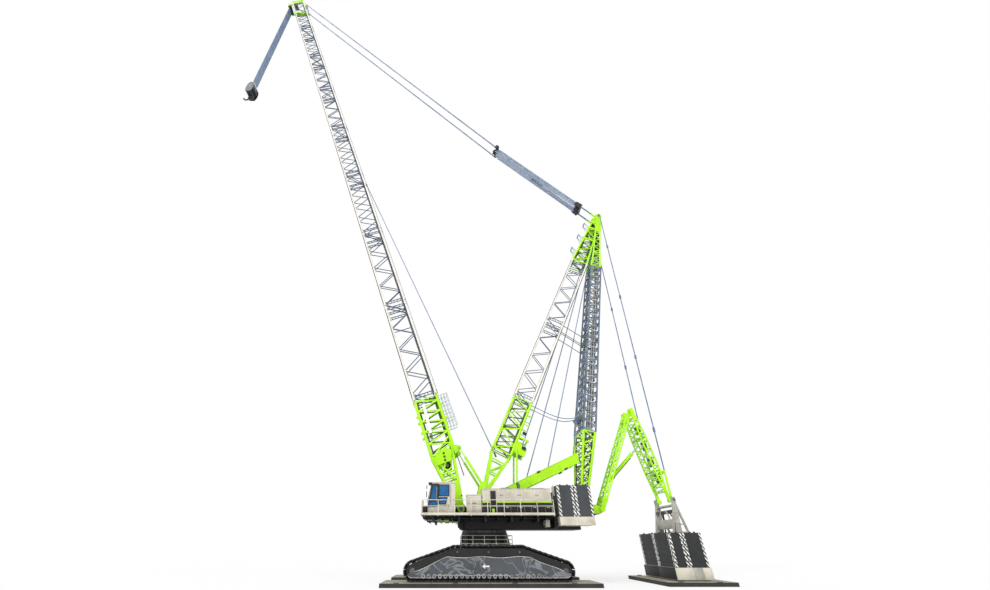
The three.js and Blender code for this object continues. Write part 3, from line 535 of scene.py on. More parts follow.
tarpaulin = creased_cloth("tarpaulin")
welt_cloth_and_highlight = coating("welt_cloth_and_highlight", "CFC8BA", "8F8A80", 0.6, patch=12.0)
for side, hand in ((-1, "left"), (1, "right")):
    deselect()
    bpy.ops.mesh.primitive_grid_add(x_subdivisions=220, y_subdivisions=36, size=2)
    cover = bpy.context.object
    for vertex in cover.data.vertices:
        x = vertex.co.x * COVER_END
        share = (vertex.co.y + 1) / 2
        low, high = cover_bottom(x), cover_top(x)
        z = low + (high - low) * share
        fold = (math.sin(x * 31 + z * 22) * math.sin(x * 12.5 - 1.3)
                + 0.7 * math.sin((x - z) * 74 + 2.0 * math.sin(x * 17)) * share
                + 0.5 * math.sin(z * 120 + x * 9) * (1 - share) ** 2)
        edge = min(1.0, (COVER_END - abs(x)) / 0.05)
        vertex.co = (x, side * (0.4728 + 0.0021 * edge * (1 + fold) / 2), z)
    open_mesh()
    if side > 0:
        bpy.ops.mesh.flip_normals()
    close_mesh()
    only(cover)
    clouds = bpy.data.textures.new(f"{hand}_cover_folds", "CLOUDS")
    clouds.noise_scale = 0.07
    crumple = cover.modifiers.new("crumple", "DISPLACE")
    crumple.texture = clouds
    crumple.strength = 0.0042
    crumple.mid_level = 0.5
    bpy.ops.object.modifier_apply(modifier="crumple")
    paint(cover, tarpaulin)
    fit([cover], f"{hand}_track_cover", "carrier", "cover_sheet", smooth=80)
# A pale piping along each cover's top edge, and a thinner pale line along its bottom edge that
# stands for the glints of the rollers behind it: painted highlight.
welt = []
for k in range(60):
    for end, edge, radius in ((0.64, cover_top, 0.0022), (0.69, cover_bottom, 0.0018)):
        x = [-end + 2 * end * (k + step) / 60 for step in (0, 1)]
        welt.append(tube((x[0], -0.4745, edge(x[0])), (x[1], -0.4745, edge(x[1])), radius,
                         welt_cloth_and_highlight, 6))
fit_pair(welt, "cover_welts", "carrier", "cover_sheet")
arrow_white = coating("arrow_white", "F4F3EE", "CFCDC6", 0.6, patch=20.0)
arrow = plate(((-0.06, 0.143), (-0.034, 0.161), (-0.034, 0.1485), (0.002, 0.1485), (0.002, 0.1375),
               (-0.034, 0.1375), (-0.034, 0.125)), (-0.479, -0.4772), arrow_white)
fit_pair([arrow], "travel_arrows", "carrier", "cover_sheet")

# Carbody: a black welded box between the crawlers, with the pedestal and the toothed
# slewing ring bolted on top. A beige handrail stands round it.
paint_nodes(frame_black, "carbody")
guard_beige = coating("guard_beige", "D2CCBC", "A9A394", 0.45, patch=6.0)
ring = []
for k in range(72):
    angle = math.radians(5 * k)
    ring.append(block((0.2105, 0.219), (-0.0045, 0.0045), (0.398, 0.414), pin_steel))
    ring[-1].rotation_euler = (0, 0, angle)
    settle(ring[-1])
fit(ring, "slewing_ring_teeth", "carrier", "track_steel")
bolts = []
for k in range(40):
    angle = math.radians(9 * k)
    x, y = 0.2185 * math.cos(angle), 0.2185 * math.sin(angle)
    bolts.append(upright(x, y, (0.3958, 0.4), 0.003, pin_steel, 6))
fit(bolts, "pedestal_bolts", "carrier", "track_steel")
guard = []
for x in (-0.232, -0.125, -0.018, 0.09, 0.197, 0.24):
    guard.append(upright(x, -0.262, (0.298, 0.372), 0.003, guard_beige))
for z in (0.372, 0.34, 0.309):
    guard.append(tube((-0.232, -0.262, z), (0.24, -0.262, z), 0.003, guard_beige))
    for x in (-0.232, 0.24):
        guard.append(across(x, (-0.262, 0.0), z, 0.003, guard_beige))
for x in (-0.232, 0.24):
    guard.append(block((x - 0.004, x + 0.004), (-0.262, -0.18), (0.292, 0.3), guard_beige))
guard.append(block((-0.236, 0.244), (-0.266, -0.228), (0.2965, 0.3005), guard_beige, 0.001))
for x in (-0.125, -0.018, 0.09):
    guard.append(across(x, (-0.2685, -0.265), 0.3065, 0.006, arrow_white, 10))
fit_pair(guard, "carbody_handrail", "carrier", "beige_paint")
ribs = []
for k in range(12):
    angle = math.radians(30 * k + 15)
    rib = plate(((0.214, 0.3), (0.25, 0.3), (0.228, 0.388), (0.214, 0.388)), (-0.004, 0.004),
                frame_black, 0.0008)
    rib.rotation_euler = (0, 0, angle)
    ribs.append(settle(rib))
fit(ribs, "pedestal_ribs", "carrier", "black_steel")

# Main frame and walkway decks: the frame is one black welded girder on the slewing ring.
# The decks beside it have a beige toe board and a tubular beige handrail along the edge.
paint_nodes(frame_black, "main_frame", "left_deck", "right_deck", "engine")
railing = [block((-0.6, 0.62), (-0.4735, -0.47), (0.5265, 0.547), guard_beige, 0.001),
           block((-0.6035, -0.6), (-0.4735, -0.17), (0.5265, 0.547), guard_beige, 0.001)]
for k in range(9):
    x = -0.597 + 0.1515 * k
    railing.append(block((x - 0.0035, x + 0.0035), (-0.4715, -0.4655), (0.52, 0.651), guard_beige,
                         0.0008))
for y in (-0.385, -0.3, -0.215):
    railing.append(block((-0.601, -0.595), (y - 0.003, y + 0.003), (0.52, 0.651), guard_beige,
                         0.0008))
for z in (0.651, 0.6):
    railing += [tube((-0.6, -0.4685, z), (0.618, -0.4685, z), 0.0033, guard_beige),
                across(-0.598, (-0.4685, -0.215), z, 0.0033, guard_beige)]
fit_pair(railing, "deck_railing", "superstructure", "beige_paint")
tread = coating("deck_tread", "24262A", "3D3F42", 0.55, metallic=0.3, patch=8.0, relief=0.5)
grip = joined([block((x, x + 0.022), (y, y + 0.0035), (0.5342, 0.5352), tread)
               for x, y in ((-0.59, -0.462), (-0.575, -0.451))])
fit_pair([repeat(grip, 40, (0.03, 0, 0))], "deck_tread_bars", "superstructure", "black_steel")
under = []
for x in (-0.56, -0.44, -0.32, -0.14, 0.1, 0.34, 0.54):
    under.append(plate(((x, 0.521), (x, 0.492), (x + 0.006, 0.492), (x + 0.006, 0.521)),
                       (-0.44, -0.168), frame_black))
for y, z in ((-0.3, 0.512), (-0.33, 0.512), (-0.36, 0.508)):
    under.append(tube((-0.59, y, z), (0.6, y, z), 0.0055, frame_black))
under += [plate(((-0.262, 0.478), (-0.262, 0.455), (-0.24, 0.436), (-0.228, 0.436),
                 (-0.226, 0.478)), (-0.235, -0.185), frame_black, 0.003),
          upright(-0.222, -0.188, (0.428, 0.505), 0.02, frame_black, 16)]
fit_pair(under, "deck_brackets_and_pipes", "superstructure", "black_steel")
lime = coating("lime_paint", "B2F200", "9CD800", 0.36, metallic=0.05, patch=2.2, relief=0.06)
valves = [block((-0.452, -0.425), (-0.3, -0.2), (0.496, 0.506), lime, 0.002),
          block((-0.395, -0.35), (-0.26, -0.19), (0.49, 0.5), lime, 0.002),
          block((-0.285, -0.25), (-0.24, -0.19), (0.48, 0.4865), lime, 0.002)]
fit_pair(valves, "hose_guards", "superstructure", "lime_paint")

# Operator's cab: a folded and welded steel shell in beige, its windows framed in black
# rubber with blue tinted glass. A seat, two lever consoles and a screen stand inside.
cab_beige = coating("cab_beige", "CFC9B9", "B6B0A0", 0.42, patch=5.0)
paint_nodes(cab_beige, "cab", "cab_door")
rubber = coating("window_rubber", "0E0F12", "1E2024", 0.6, patch=20.0)
glass = coating("cab_glass", "0E6CAA", "083C6C", 0.1, patch=9.0, relief=0.0)
for setting, value in (("Transmission Weight", 0.25), ("IOR", 1.45)):
    glass.node_tree.nodes["Principled BSDF"].inputs[setting].default_value = value
RUBBER_DEPTH = 0.0015


def rectangle(x, z):
    return (x[0], z[0]), (x[1], z[0]), (x[1], z[1]), (x[0], z[1])


def window(points, y, border):
    """A pane in its rubber surround, from its outline and its outer y."""
    middle = Vector((sum(p[0] for p in points), sum(p[1] for p in points))) / len(points)
    deselect()
    bpy.ops.mesh.primitive_circle_add(vertices=len(points), fill_type="NGON")
    rim = bpy.context.object
    for vertex, (x, z) in zip(rim.data.vertices, points):
        vertex.co = (x, y, z)
    open_mesh()
    bpy.ops.mesh.inset(thickness=border, depth=0)
    bpy.ops.mesh.delete(type="ONLY_FACE")
    bpy.ops.mesh.select_all(action="SELECT")
    bpy.ops.mesh.extrude_region_move(TRANSFORM_OT_translate={"value": (0, RUBBER_DEPTH, 0)})
    bpy.ops.mesh.select_all(action="SELECT")
    bpy.ops.mesh.normals_make_consistent(inside=False)
    close_mesh()
    paint(rim, rubber)
    shrink = [(x + (middle.x - x) * 0.02, z + (middle.y - z) * 0.02) for x, z in points]
    pane = plate(shrink, (y + RUBBER_DEPTH * 0.4, y + RUBBER_DEPTH * 0.8), glass)
    return [rim, pane]


surround = plate(((-0.55, 0.594), (-0.446, 0.594), (-0.446, 0.7945), (-0.5125, 0.7945)),
                 (-0.4059, -0.405), rubber)
OUTER_SIDE = -0.4068
DOOR_SIDE = -0.4197
INNER_SIDE = -0.2447
FRONT_SIDE = ((-0.537, 0.652), (-0.451, 0.652), (-0.451, 0.788), (-0.507, 0.788))
panes = window(FRONT_SIDE, OUTER_SIDE, 0.01)
panes += window(((-0.543, 0.6), (-0.451, 0.6), (-0.451, 0.648), (-0.5385, 0.648)), OUTER_SIDE,
                0.009)
panes += window(FRONT_SIDE, INNER_SIDE, 0.01)
panes += window(rectangle((-0.434, -0.316), (0.646, 0.786)), INNER_SIDE, 0.01)
SCREEN_Y = (-0.391, -0.259)
SCREEN_Z = (0.64, 0.786)
front = [block((-0.0012, 0.0012), SCREEN_Y, SCREEN_Z, glass)]
front += [block((-0.0022, 0.0022), y, z, rubber)
          for y, z in (((-0.391, -0.384), SCREEN_Z), ((-0.266, -0.259), SCREEN_Z),
                       (SCREEN_Y, (0.638, 0.645)), (SCREEN_Y, (0.781, 0.788)))]
front += [tube((-0.0045, -0.325, 0.643), (-0.0045, -0.345, 0.735), 0.0012, rubber, 6),
          block((-0.005, -0.0032), (-0.35, -0.34), (0.69, 0.77), rubber)]
screen = joined(front)
for vertex in screen.data.vertices:
    vertex.co.x += -0.553 + (vertex.co.z - SCREEN_Z[0]) * 0.2532
roof_light = [block((-0.494, -0.396), (-0.379, -0.271), (0.7975, 0.7995), glass, 0.0006)]
roof_light += [block((-0.498, -0.392), y, (0.797, 0.8), rubber)
               for y in ((-0.383, -0.375), (-0.275, -0.267))]
fit(panes + [screen, surround] + roof_light, "cab_windows", "superstructure", "cab_glass")
door_panes = window(rectangle((-0.444, -0.343), (0.684, 0.786)), DOOR_SIDE, 0.008)
door_panes += window(((-0.444, 0.618), (-0.374, 0.618), (-0.36, 0.678), (-0.444, 0.678)), DOOR_SIDE,
                     0.008)
door_panes += [block((-0.36, -0.352), (-0.4225, -0.418), (0.655, 0.66), rubber, 0.001),
               block((-0.4475, -0.4445), (-0.4205, -0.418), (0.62, 0.79), rubber)]
fit(door_panes, "cab_door_window", "cab_door", "cab_glass")
trim = [plate(((-0.512, 0.7985), (-0.286, 0.7985), (-0.286, 0.8095), (-0.506, 0.8095)),
              (-0.409, -0.241), cab_beige, 0.002),
        plate(((-0.54, 0.795), (-0.5, 0.798), (-0.5, 0.808), (-0.532, 0.806)), (-0.404, -0.246),
              frame_black, 0.001),
        plate(((-0.34, 0.606), (-0.289, 0.606), (-0.289, 0.797), (-0.32, 0.797), (-0.324, 0.7)),
              (-0.4072, -0.4052), cab_beige, 0.0008)]
for y in (-0.385, -0.355, -0.295, -0.265):
    trim += [tube((-0.545, y, 0.801), (-0.531, y, 0.801), 0.0075, frame_black, 14),
             tube((-0.5463, y, 0.801), (-0.5448, y, 0.801), 0.0062, arrow_white, 14)]
for x in (-0.53, -0.478, -0.41, -0.345):
    trim.append(block((x + 0.003, x + 0.045), (-0.4066, -0.4052), (0.54, 0.595), cab_beige, 0.0007))
trim += [block((-0.59, -0.553), (-0.43, -0.26), (0.5352, 0.608), frame_black, 0.003),
         upright(-0.462, -0.418, (0.64, 0.76), 0.0018, guard_beige),
         block((-0.56, -0.554), (-0.452, -0.434), (0.675, 0.725), frame_black, 0.002),
         block((-0.56, -0.554), (-0.452, -0.436), (0.745, 0.775), frame_black, 0.002)]
trim += [block((-0.5925, -0.5895), y, (0.56, 0.598), guard_beige, 0.001)
         for y in ((-0.42, -0.37), (-0.33, -0.28))]
trim += [across(-0.556, (-0.412, -0.44), z, 0.0016, frame_black, 6) for z in (0.7, 0.76)]
trim += [across(-0.462, (-0.418, -0.406), z, 0.0018, guard_beige) for z in (0.64, 0.76)]
fit(trim, "cab_roof_visor_and_trim", "superstructure", "beige_paint")
seat_cloth = coating("seat_cloth", "23262B", "30343A", 0.85, patch=30.0, grain=500.0, relief=0.6)
inside = [block((-0.4, -0.34), (-0.355, -0.295), (0.648, 0.664), seat_cloth, 0.006),
          plate(((-0.35, 0.66), (-0.334, 0.66), (-0.318, 0.738), (-0.332, 0.744)), (-0.352, -0.298),
                seat_cloth, 0.004),
          plate(((-0.33, 0.746), (-0.319, 0.744), (-0.314, 0.762), (-0.324, 0.764)), (-0.34, -0.31),
                seat_cloth, 0.003),
          block((-0.39, -0.35), (-0.345, -0.305), (0.609, 0.648), frame_black, 0.003),
          plate(((-0.52, 0.609), (-0.485, 0.609), (-0.495, 0.67), (-0.515, 0.67)), (-0.345, -0.305),
                frame_black, 0.003),
          block((-0.49, -0.484), (-0.39, -0.35), (0.69, 0.725), rubber, 0.002),
          tube((-0.495, -0.389, 0.61), (-0.487, -0.389, 0.7), 0.002, frame_black)]
for y, lever_y in (((-0.374, -0.36), -0.367), ((-0.29, -0.276), -0.283)):
    inside += [block((-0.42, -0.35), y, (0.648, 0.672), frame_black, 0.003),
               tube((-0.41, lever_y, 0.67), (-0.416, lever_y, 0.688), 0.002, frame_black)]
fit(inside, "cab_seat_and_consoles", "superstructure", "black_steel")
grab = [upright(-0.436, -0.4205, (0.64, 0.672), 0.0014, rubber)]
grab += [block((-0.438, -0.434), (-0.4205, -0.418), z, rubber)
         for z in ((0.636, 0.642), (0.67, 0.676))]
fit(grab, "cab_door_handle", "cab_door", "black_steel")

# Cabinet: a beige sheet-metal locker on the deck behind the cab, with two hinged doors,
# a rounded lid and recessed latches.
paint_nodes(cab_beige, "cabinet")
locker = [block((-0.184, -0.041), (-0.434, -0.256), (0.693, 0.7), cab_beige, 0.002)]
for door, latch in (((0.618, 0.688), (0.624, 0.63)), ((0.54, 0.612), (0.6, 0.606))):
    locker += [block((-0.174, -0.051), (-0.432, -0.4296), door, cab_beige, 0.0012),
               block((-0.13, -0.095), (-0.4345, -0.4318), latch, frame_black, 0.001)]
fit(locker, "cabinet_doors_and_lid", "superstructure", "beige_paint")

# Machine houses: beige sheet-metal housings over the engine and the pumps. Doors and vents
# above, a lime stripe, and black louvred panels with a plain band below it.
paint_nodes(cab_beige, "left_machine_house", "right_machine_house")
HOUSE_FACE = -0.43
SHORT_FACE = (-0.034, 0.034)
LONG_FACE = (0.098, 0.609)
DOOR_Z = (0.64, 0.738)


def on_face(x, z, proud, material, bevel=0.0, behind=0.0005):
    """A panel on the outer face of the house, which stands proud of it."""
    return block(x, (HOUSE_FACE - proud, HOUSE_FACE + behind), z, material, bevel)


doors = []
for k in range(6):
    x = 0.102 + 0.0835 * k
    doors.append(on_face((x + 0.002, x + 0.0815), DOOR_Z, 0.0022, cab_beige, 0.001))
    if k % 2:
        for n in range(7):
            z = 0.67 + 0.008 * n
            doors.append(on_face((x + 0.018, x + 0.066), (z, z + 0.0045), 0.0034, cab_beige, 0.0005,
                                 -0.0018))
    else:
        for step in (0.03, 0.048):
            doors.append(on_face((x + step, x + step + 0.006), (0.686, 0.698), 0.004, frame_black,
                                 0.0006, -0.002))
doors += [on_face((-0.033, 0.03), DOOR_Z, 0.0022, cab_beige, 0.001),
          block((-0.038, 0.613), (HOUSE_FACE - 0.004, -0.2255), (0.7462, 0.75), cab_beige, 0.0012)]
fit_pair(doors, "house_doors_and_vents", "superstructure", "beige_paint")
stripe = [on_face(x, (0.63, 0.6385), 0.003, lime, 0.0006) for x in (SHORT_FACE, LONG_FACE)]
fit_pair(stripe, "house_stripe", "superstructure", "lime_paint")
band_black = coating("band_black", "121316", "1C1D20", 0.4, patch=7.0)
skirt = [on_face(SHORT_FACE, (0.535, 0.63), 0.0026, band_black, 0.0008),
         on_face(LONG_FACE, (0.602, 0.63), 0.0026, band_black, 0.0008),
         on_face((0.036, 0.096), (0.535, 0.73), 0.002, frame_black, 0.0008)]
skirt += [on_face(x, (0.535, 0.736), 0.0034, cab_beige, 0.0008)
          for x in ((0.034, 0.04), (0.092, 0.098))]
for k in range(8):
    x = 0.1 + 0.0635 * k
    skirt.append(on_face((x, x + 0.0615), (0.536, 0.5995), 0.0024, frame_black, 0.0012))
    for n in range(5):
        z = 0.546 + 0.009 * n
        skirt.append(on_face((x + 0.008, x + 0.054), (z, z + 0.0035), 0.0038, frame_black,
                             behind=-0.002))
    if k % 2:
        for step in (0.022, 0.036):
            skirt.append(across(x + step, (HOUSE_FACE - 0.005, HOUSE_FACE - 0.002), 0.592, 0.0042,
                                arrow_white, 10))
skirt.append(on_face((0.052, 0.074), (0.538, 0.58), 0.0045, lime, 0.001, -0.0015))
fit_pair(skirt, "house_skirt_and_doorway", "superstructure", "black_steel")
exhaust = [upright(0.33, -0.3, (0.745, 0.8), 0.016, pin_steel, 20),
           tube((0.33, -0.3, 0.796), (0.318, -0.3, 0.815), 0.014, pin_steel, 20),
           block((0.15, 0.25), (-0.39, -0.27), (0.7495, 0.76), frame_black, 0.003),
           block((0.42, 0.56), (-0.39, -0.27), (0.7495, 0.758), frame_black, 0.003)]
fit(exhaust, "house_roof_gear", "superstructure", "black_steel")
heads = [upright(0.11 + 0.052 * k, -0.325, (0.676, 0.694), 0.018, frame_black, 14)
         for k in range(6)]
fit(heads, "engine_cylinder_heads", "superstructure", "black_steel")

# Body counterweight: cast slabs in two stacks each side, painted slate grey and bolted to a
# beige tray, with warning stripes down their corners.
slate = coating("slate_paint", "383D41", "2B2F32", 0.6, patch=6.0, relief=0.3)
paint_nodes(slate, "left_body_ballast", "right_body_ballast")
paint_nodes(guard_beige, "left_ballast_tray", "right_ballast_tray")


def warning_stripes(name):
    """White diagonal bars on black, painted round the corners of the slabs."""
    made = coating(name, "EDEDE8", "CBCBC4", 0.55, patch=25.0)
    tree = made.node_tree
    x, y, z = places(made)
    skew = computed(tree, "MULTIPLY_ADD", computed(tree, "ADD", x, y), 1.3, z)
    turn = computed(tree, "FRACT", computed(tree, "MULTIPLY", skew, 27.0))
    return overlay(made, computed(tree, "GREATER_THAN", turn, 0.46), "08090A", under=True)


stripes = warning_stripes("warning_stripes")
SLAB_RISE = 0.06575
SLAB_Z = (0.519, 0.5805)
marks = [block(x, (-0.4212, -0.4195), SLAB_Z, stripes)
         for x in ((0.674, 0.697), (0.8055, 0.8285), (0.8365, 0.8595), (0.968, 0.991))]
marks += [block(x, y, SLAB_Z, stripes) for y in ((-0.4212, -0.392), (-0.221, -0.192))
          for x in ((0.6738, 0.6755), (0.9897, 0.9912))]
fit_pair([repeat(joined(marks), 4, (0, 0, SLAB_RISE))], "body_ballast_stripes", "superstructure",
         "slate_paint")
top_gear = []
for x in (0.72, 0.79, 0.87, 0.945):
    for y in (-0.37, -0.24):
        top_gear.append(upright(x, y, (0.7795, 0.792), 0.008, slate, 12))
top_gear.append(block((0.668, 0.676), (-0.3, -0.23), (0.7, 0.79), guard_beige, 0.002))
fit_pair(top_gear, "body_ballast_lifting_bosses", "superstructure", "slate_paint")
tray_feet = [block((0.56, 0.6), (-0.3, -0.17), (0.44, 0.5), guard_beige, 0.004),
             block((0.64, 0.668), (-0.33, -0.17), (0.43, 0.515), frame_black, 0.003)]
fit_pair(tray_feet, "tray_brackets", "superstructure", "beige_paint")

# Boom base: the lime-green foot of the boom. Two heavy foot plates widen from the foot pins
# to a box of welded round tubes, with the hoist winch between them.
BOOM_FOOT = (-0.23, 0.6)
BOOM_LEAN = 180 - 70.4
BOOM = (BOOM_FOOT, BOOM_LEAN)
BOOM_HALF = 0.1425
BOOM_HALF_WIDTH = 0.15
BASE_TOP = 1.18
# A darker copy of the lime paint for members inside and behind the lime frames: painted shade.
lime_painted_shade = coating("lime_paint_shaded", "3E5E12", "2C4412", 0.5, patch=4.0)


def stand(piece, foot, inclination):
    """Turns a piece made upright so that it leans from its foot at its inclination."""
    piece.rotation_euler = (0, math.radians(90 - inclination), 0)
    piece.location = (foot[0], 0, foot[1])
    return settle(piece)


def erect(pieces, member, *what):
    """Joins the upright pieces of a leaning member, stands them on it and fits them."""
    fit([stand(joined(pieces), *member)], *what)


def laced(low, high, bays, chord, lacing, chord_paint, lacing_paint, chord_sides=12):
    """A laced box between two sections (height, front x, rear x, half width): four corner
    tubes, a frame at each end, and a zigzag of bracing tubes on every side."""
    def corner(level, rear, hand):
        share = level / bays
        z, front, back, half = (a + (b - a) * share for a, b in zip(low, high))
        return (back - chord if rear else front + chord, hand * (half - chord), z)

    tubes = []
    ring = [(0, -1), (1, -1), (1, 1), (0, 1)]
    for rear, hand in ring:
        tubes.append(tube(corner(0, rear, hand), corner(bays, rear, hand), chord, chord_paint,
                          chord_sides))
    for level in (0, bays):
        for start, end in zip(ring, ring[1:] + ring[:1]):
            tubes.append(tube(corner(level, *start), corner(level, *end), lacing, lacing_paint))
    for step in range(2 * bays):
        turn = step % 2
        for hand in (-1, 1):
            from_rear = turn if hand < 0 else 1 - turn
            tubes.append(tube(corner(step / 2, from_rear, hand),
                              corner(step / 2 + 0.5, 1 - from_rear, hand), lacing, lacing_paint))
        for rear in (0, 1):
            swing = 1 if (step + rear) % 2 else -1
            tubes.append(tube(corner(step / 2, rear, -swing), corner(step / 2 + 0.5, rear, swing),
                              lacing, lacing_paint))
    return tubes


foot_plate = plate(((-0.028, -0.03), (0.028, -0.03), (0.07, 0.21), (BOOM_HALF, 0.72), (0.116, 0.72),
                    (0.052, 0.26), (-0.052, 0.26), (-0.118, 0.56), (-BOOM_HALF, 0.56),
                    (-0.07, 0.21)), (-0.132, -0.105), lime, 0.003)
base = [both_sides(foot_plate)]
base += [both_sides(across(0, (-0.1345, -0.1035), 0, 0.034, lime, 28)),
         both_sides(across(0, (-0.1385, -0.134), 0, 0.019, pin_steel, 24))]
for x in (-0.024, 0.024):
    base.append(across(x, (-0.128, 0.128), 0.2, 0.012, lime, 12))
base += laced((0.56, -BOOM_HALF, BOOM_HALF, 0.136), (0.82, -BOOM_HALF, BOOM_HALF, BOOM_HALF_WIDTH),
              2, 0.0155, 0.008, lime, lime)
base += laced((0.82, -BOOM_HALF, BOOM_HALF, BOOM_HALF_WIDTH),
              (BASE_TOP - 0.004, -BOOM_HALF, BOOM_HALF, BOOM_HALF_WIDTH), 3, 0.0155, 0.008, lime,
              lime)
for hand in (-1, 1):
    for start, end in (((-0.118, 0.535), (0.05, 0.275)), ((0.118, 0.64), (-0.07, 0.36)),
                       ((-0.1, 0.56), (0.11, 0.7))):
        base.append(tube((start[0], hand * 0.12, start[1]), (end[0], hand * 0.12, end[1]), 0.009,
                         lime))
    for z in (0.3, 0.36, 0.56):
        base.append(tube((-0.075 - (z - 0.3) * 0.2, hand * 0.118, z),
                         (0.085 + (z - 0.3) * 0.12, hand * 0.118, z), 0.009, lime))
lug = plate(((0.118, 0.5), (0.196, 0.528), (0.2, 0.552), (0.186, 0.566), (0.118, 0.6)),
            (-0.164, -0.134), lime, 0.003)
base += [both_sides(lug),
         both_sides(across(0.176, (-0.19, -0.16), 0.542, 0.0055, pin_steel, 16))]
panel = plate(((-0.104, 0.455), (0.06, 0.455), (0.1, 0.56), (0.03, 0.6), (-0.112, 0.54)),
              (-0.1385, -0.1325), lime, 0.002)
base.append(both_sides(panel))
for z in (0.48, 0.515, 0.55):
    base.append(both_sides(across(-0.05 + z * 0.1, (-0.1405, -0.138), z, 0.013, lime_painted_shade, 16)))
for x, z in ((-0.15, 0.82), (-0.15, 1.0), (0.15, 0.9), (0.15, 1.06)):
    base.append(both_sides(block((x - 0.014, x + 0.014), (-0.15, -0.128), (z - 0.014, z + 0.014),
                                 lime, 0.003)))
for x in (-0.048, 0.048):
    base.append(both_sides(across(x, (-0.132, -0.137), 0.11, 0.008, pin_steel, 12)))
# An inner laced box in the shaded lime, standing for the dark inside of the base: painted shade.
base += laced((0.58, -0.104, 0.104, 0.104), (1.165, -0.11, 0.11, 0.112), 5, 0.007, 0.005, lime_painted_shade,
              lime_painted_shade, 8)
erect(base, BOOM, "boom_base_frame", "boom", "lime_paint", "boom_base")
rope_grey = coating("rope_steel", "8A9DB8", "6D809B", 0.5, metallic=0.15, patch=9.0, grain=400.0,
                    relief=0.2)
winch_grey = coating("winch_grey", "5C6670", "3E464E", 0.45, metallic=0.3, patch=12.0)


def winch(x, z, radius, half, turns):
    """A drum with two flanges, wound with a layer of rope."""
    made = [across(x, (-half, half), z, radius * 0.72, winch_grey, 28)]
    for hand in (-1, 1):
        made += [tube((x, hand * half, z), (x, hand * (half - 0.006), z), radius, lime, 32),
                 tube((x, hand * half, z), (x, hand * (half + 0.01), z), radius * 0.4, pin_steel,
                      20)]
    step = 2 * (half - 0.01) / turns
    deselect()
    bpy.ops.mesh.primitive_torus_add(major_radius=radius * 0.76, minor_radius=step * 0.5,
                                     major_segments=32, minor_segments=6,
                                     location=(x, -half + 0.01 + step / 2, z),
                                     rotation=(math.pi / 2, 0, 0))
    coil = settle(bpy.context.object)
    paint(coil, rope_grey)
    made.append(repeat(coil, turns, (0, step, 0)))
    return made


erect(winch(0.005, 0.43, 0.05, 0.096, 18), BOOM, "hoist_winch", "boom", "lime_paint")
name_panel = coating("name_panel", "F2F1EC", "DEDCD5", 0.5, patch=8.0)
boards = both_sides(plate(((-0.078, 0.79), (-0.044, 0.79), (-0.024, 1.12), (-0.058, 1.12)),
                          (-0.1535, -0.1505), name_panel, 0.0008))
erect([boards], BOOM, "boom_side_boards", "boom", "cream_paint")

# Boom walkway: a grating along the rear face of the base with pale blue-grey handrails,
# and a lime ladder in painted shade beside it.
walk_grey = coating("walkway_paint", "A9B8C9", "7D8B9B", 0.5, patch=9.0)
walk = []
for k in range(26):
    z = 0.79 + 0.0148 * k
    walk.append(block((0.1435, 0.1475), (-0.1, 0.04), (z, z + 0.0052), walk_grey))
for y in (-0.1, -0.03, 0.04):
    walk.append(block((0.143, 0.149), (y - 0.002, y + 0.002), (0.786, 1.172), walk_grey))
for y in (-0.102, 0.042):
    for k in range(5):
        z = 0.792 + 0.0945 * k
        walk.append(tube((0.145, y, z), (0.25, y, z), 0.003, walk_grey))
    for x in (0.25, 0.215, 0.18):
        walk.append(upright(x, y, (0.79, 1.172), 0.0027, walk_grey))
for x in (0.25, 0.215, 0.18):
    walk.append(across(x, (-0.102, 0.042), 1.172, 0.0027, walk_grey))
erect(walk, BOOM, "boom_walkway", "boom", "lacing_paint")
ladder = [block((0.144, 0.15), (y - 0.003, y + 0.003), (0.3, 0.79), lime_painted_shade, 0.0008)
          for y in (0.064, 0.112)]
for k in range(19):
    z = 0.315 + 0.0258 * k
    ladder.append(across(0.147, (0.064, 0.112), z, 0.0022, lime_painted_shade, 6))
for z in (0.56, 0.68, 0.77):
    ladder.append(block((0.11, 0.146), (0.106, 0.112), (z - 0.004, z + 0.004), lime_painted_shade))
erect(ladder, BOOM, "boom_ladder", "boom", "lime_paint")

# Boom sections: eight pinned lattice lengths of welded round tube. The four chords are cream
# and the lacing blue-grey; forked lugs with steel pins join one length to the next.
cream = coating("cream_paint", "ECE8DE", "CFCABD", 0.42, patch=3.0)
lacing_blue = coating("lacing_paint", "66778E", "333C49", 0.45, patch=7.0)
SECTIONS = 8
BOOM_TOP = 11.81
SECTION = (BOOM_TOP - BASE_TOP) / SECTIONS
CHORD = 0.013
LACING = 0.0064


def lattice_section(rise, bays, half_depth, half_width, chord, lacing):
    """One pinned length: a laced box with frames at both ends, a brace across each end and
    the forked lugs and pins of its joint."""
    tubes = laced((0.028, -half_depth, half_depth, half_width),
                  (rise - 0.028, -half_depth, half_depth, half_width), bays, chord, lacing, cream,
                  lacing_blue, 10)
    x, y = half_depth - chord, half_width - chord
    for side in (-1, 1):
        for hand in (-1, 1):
            tubes += [upright(side * x, hand * y, (0.002, 0.04), chord * 1.35, cream, 10),
                      upright(side * x, hand * y, (rise - 0.04, rise), chord * 1.35, cream, 10),
                      across(side * x, (hand * y - chord * 1.6, hand * y + chord * 1.6), 0.012,
                             chord * 0.55, pin_steel)]
    for z, inwards in ((0.028, 1), (rise - 0.028, -1)):
        tubes.append(tube((-x, -y, z), (x, y, z), lacing, lacing_blue))
        for hand in (-1, 1):
            tubes.append(tube((-x, hand * y, z + inwards * 0.03), (x, hand * y, z + inwards * 0.03),
                              lacing, lacing_blue))
            for k in range(1, 6):
                bar_x = -x + 2 * x * k / 6
                tubes.append(upright(bar_x, hand * y, (z, z + inwards * 0.03), lacing * 0.7,
                                     lacing_blue, 6))
    return tubes


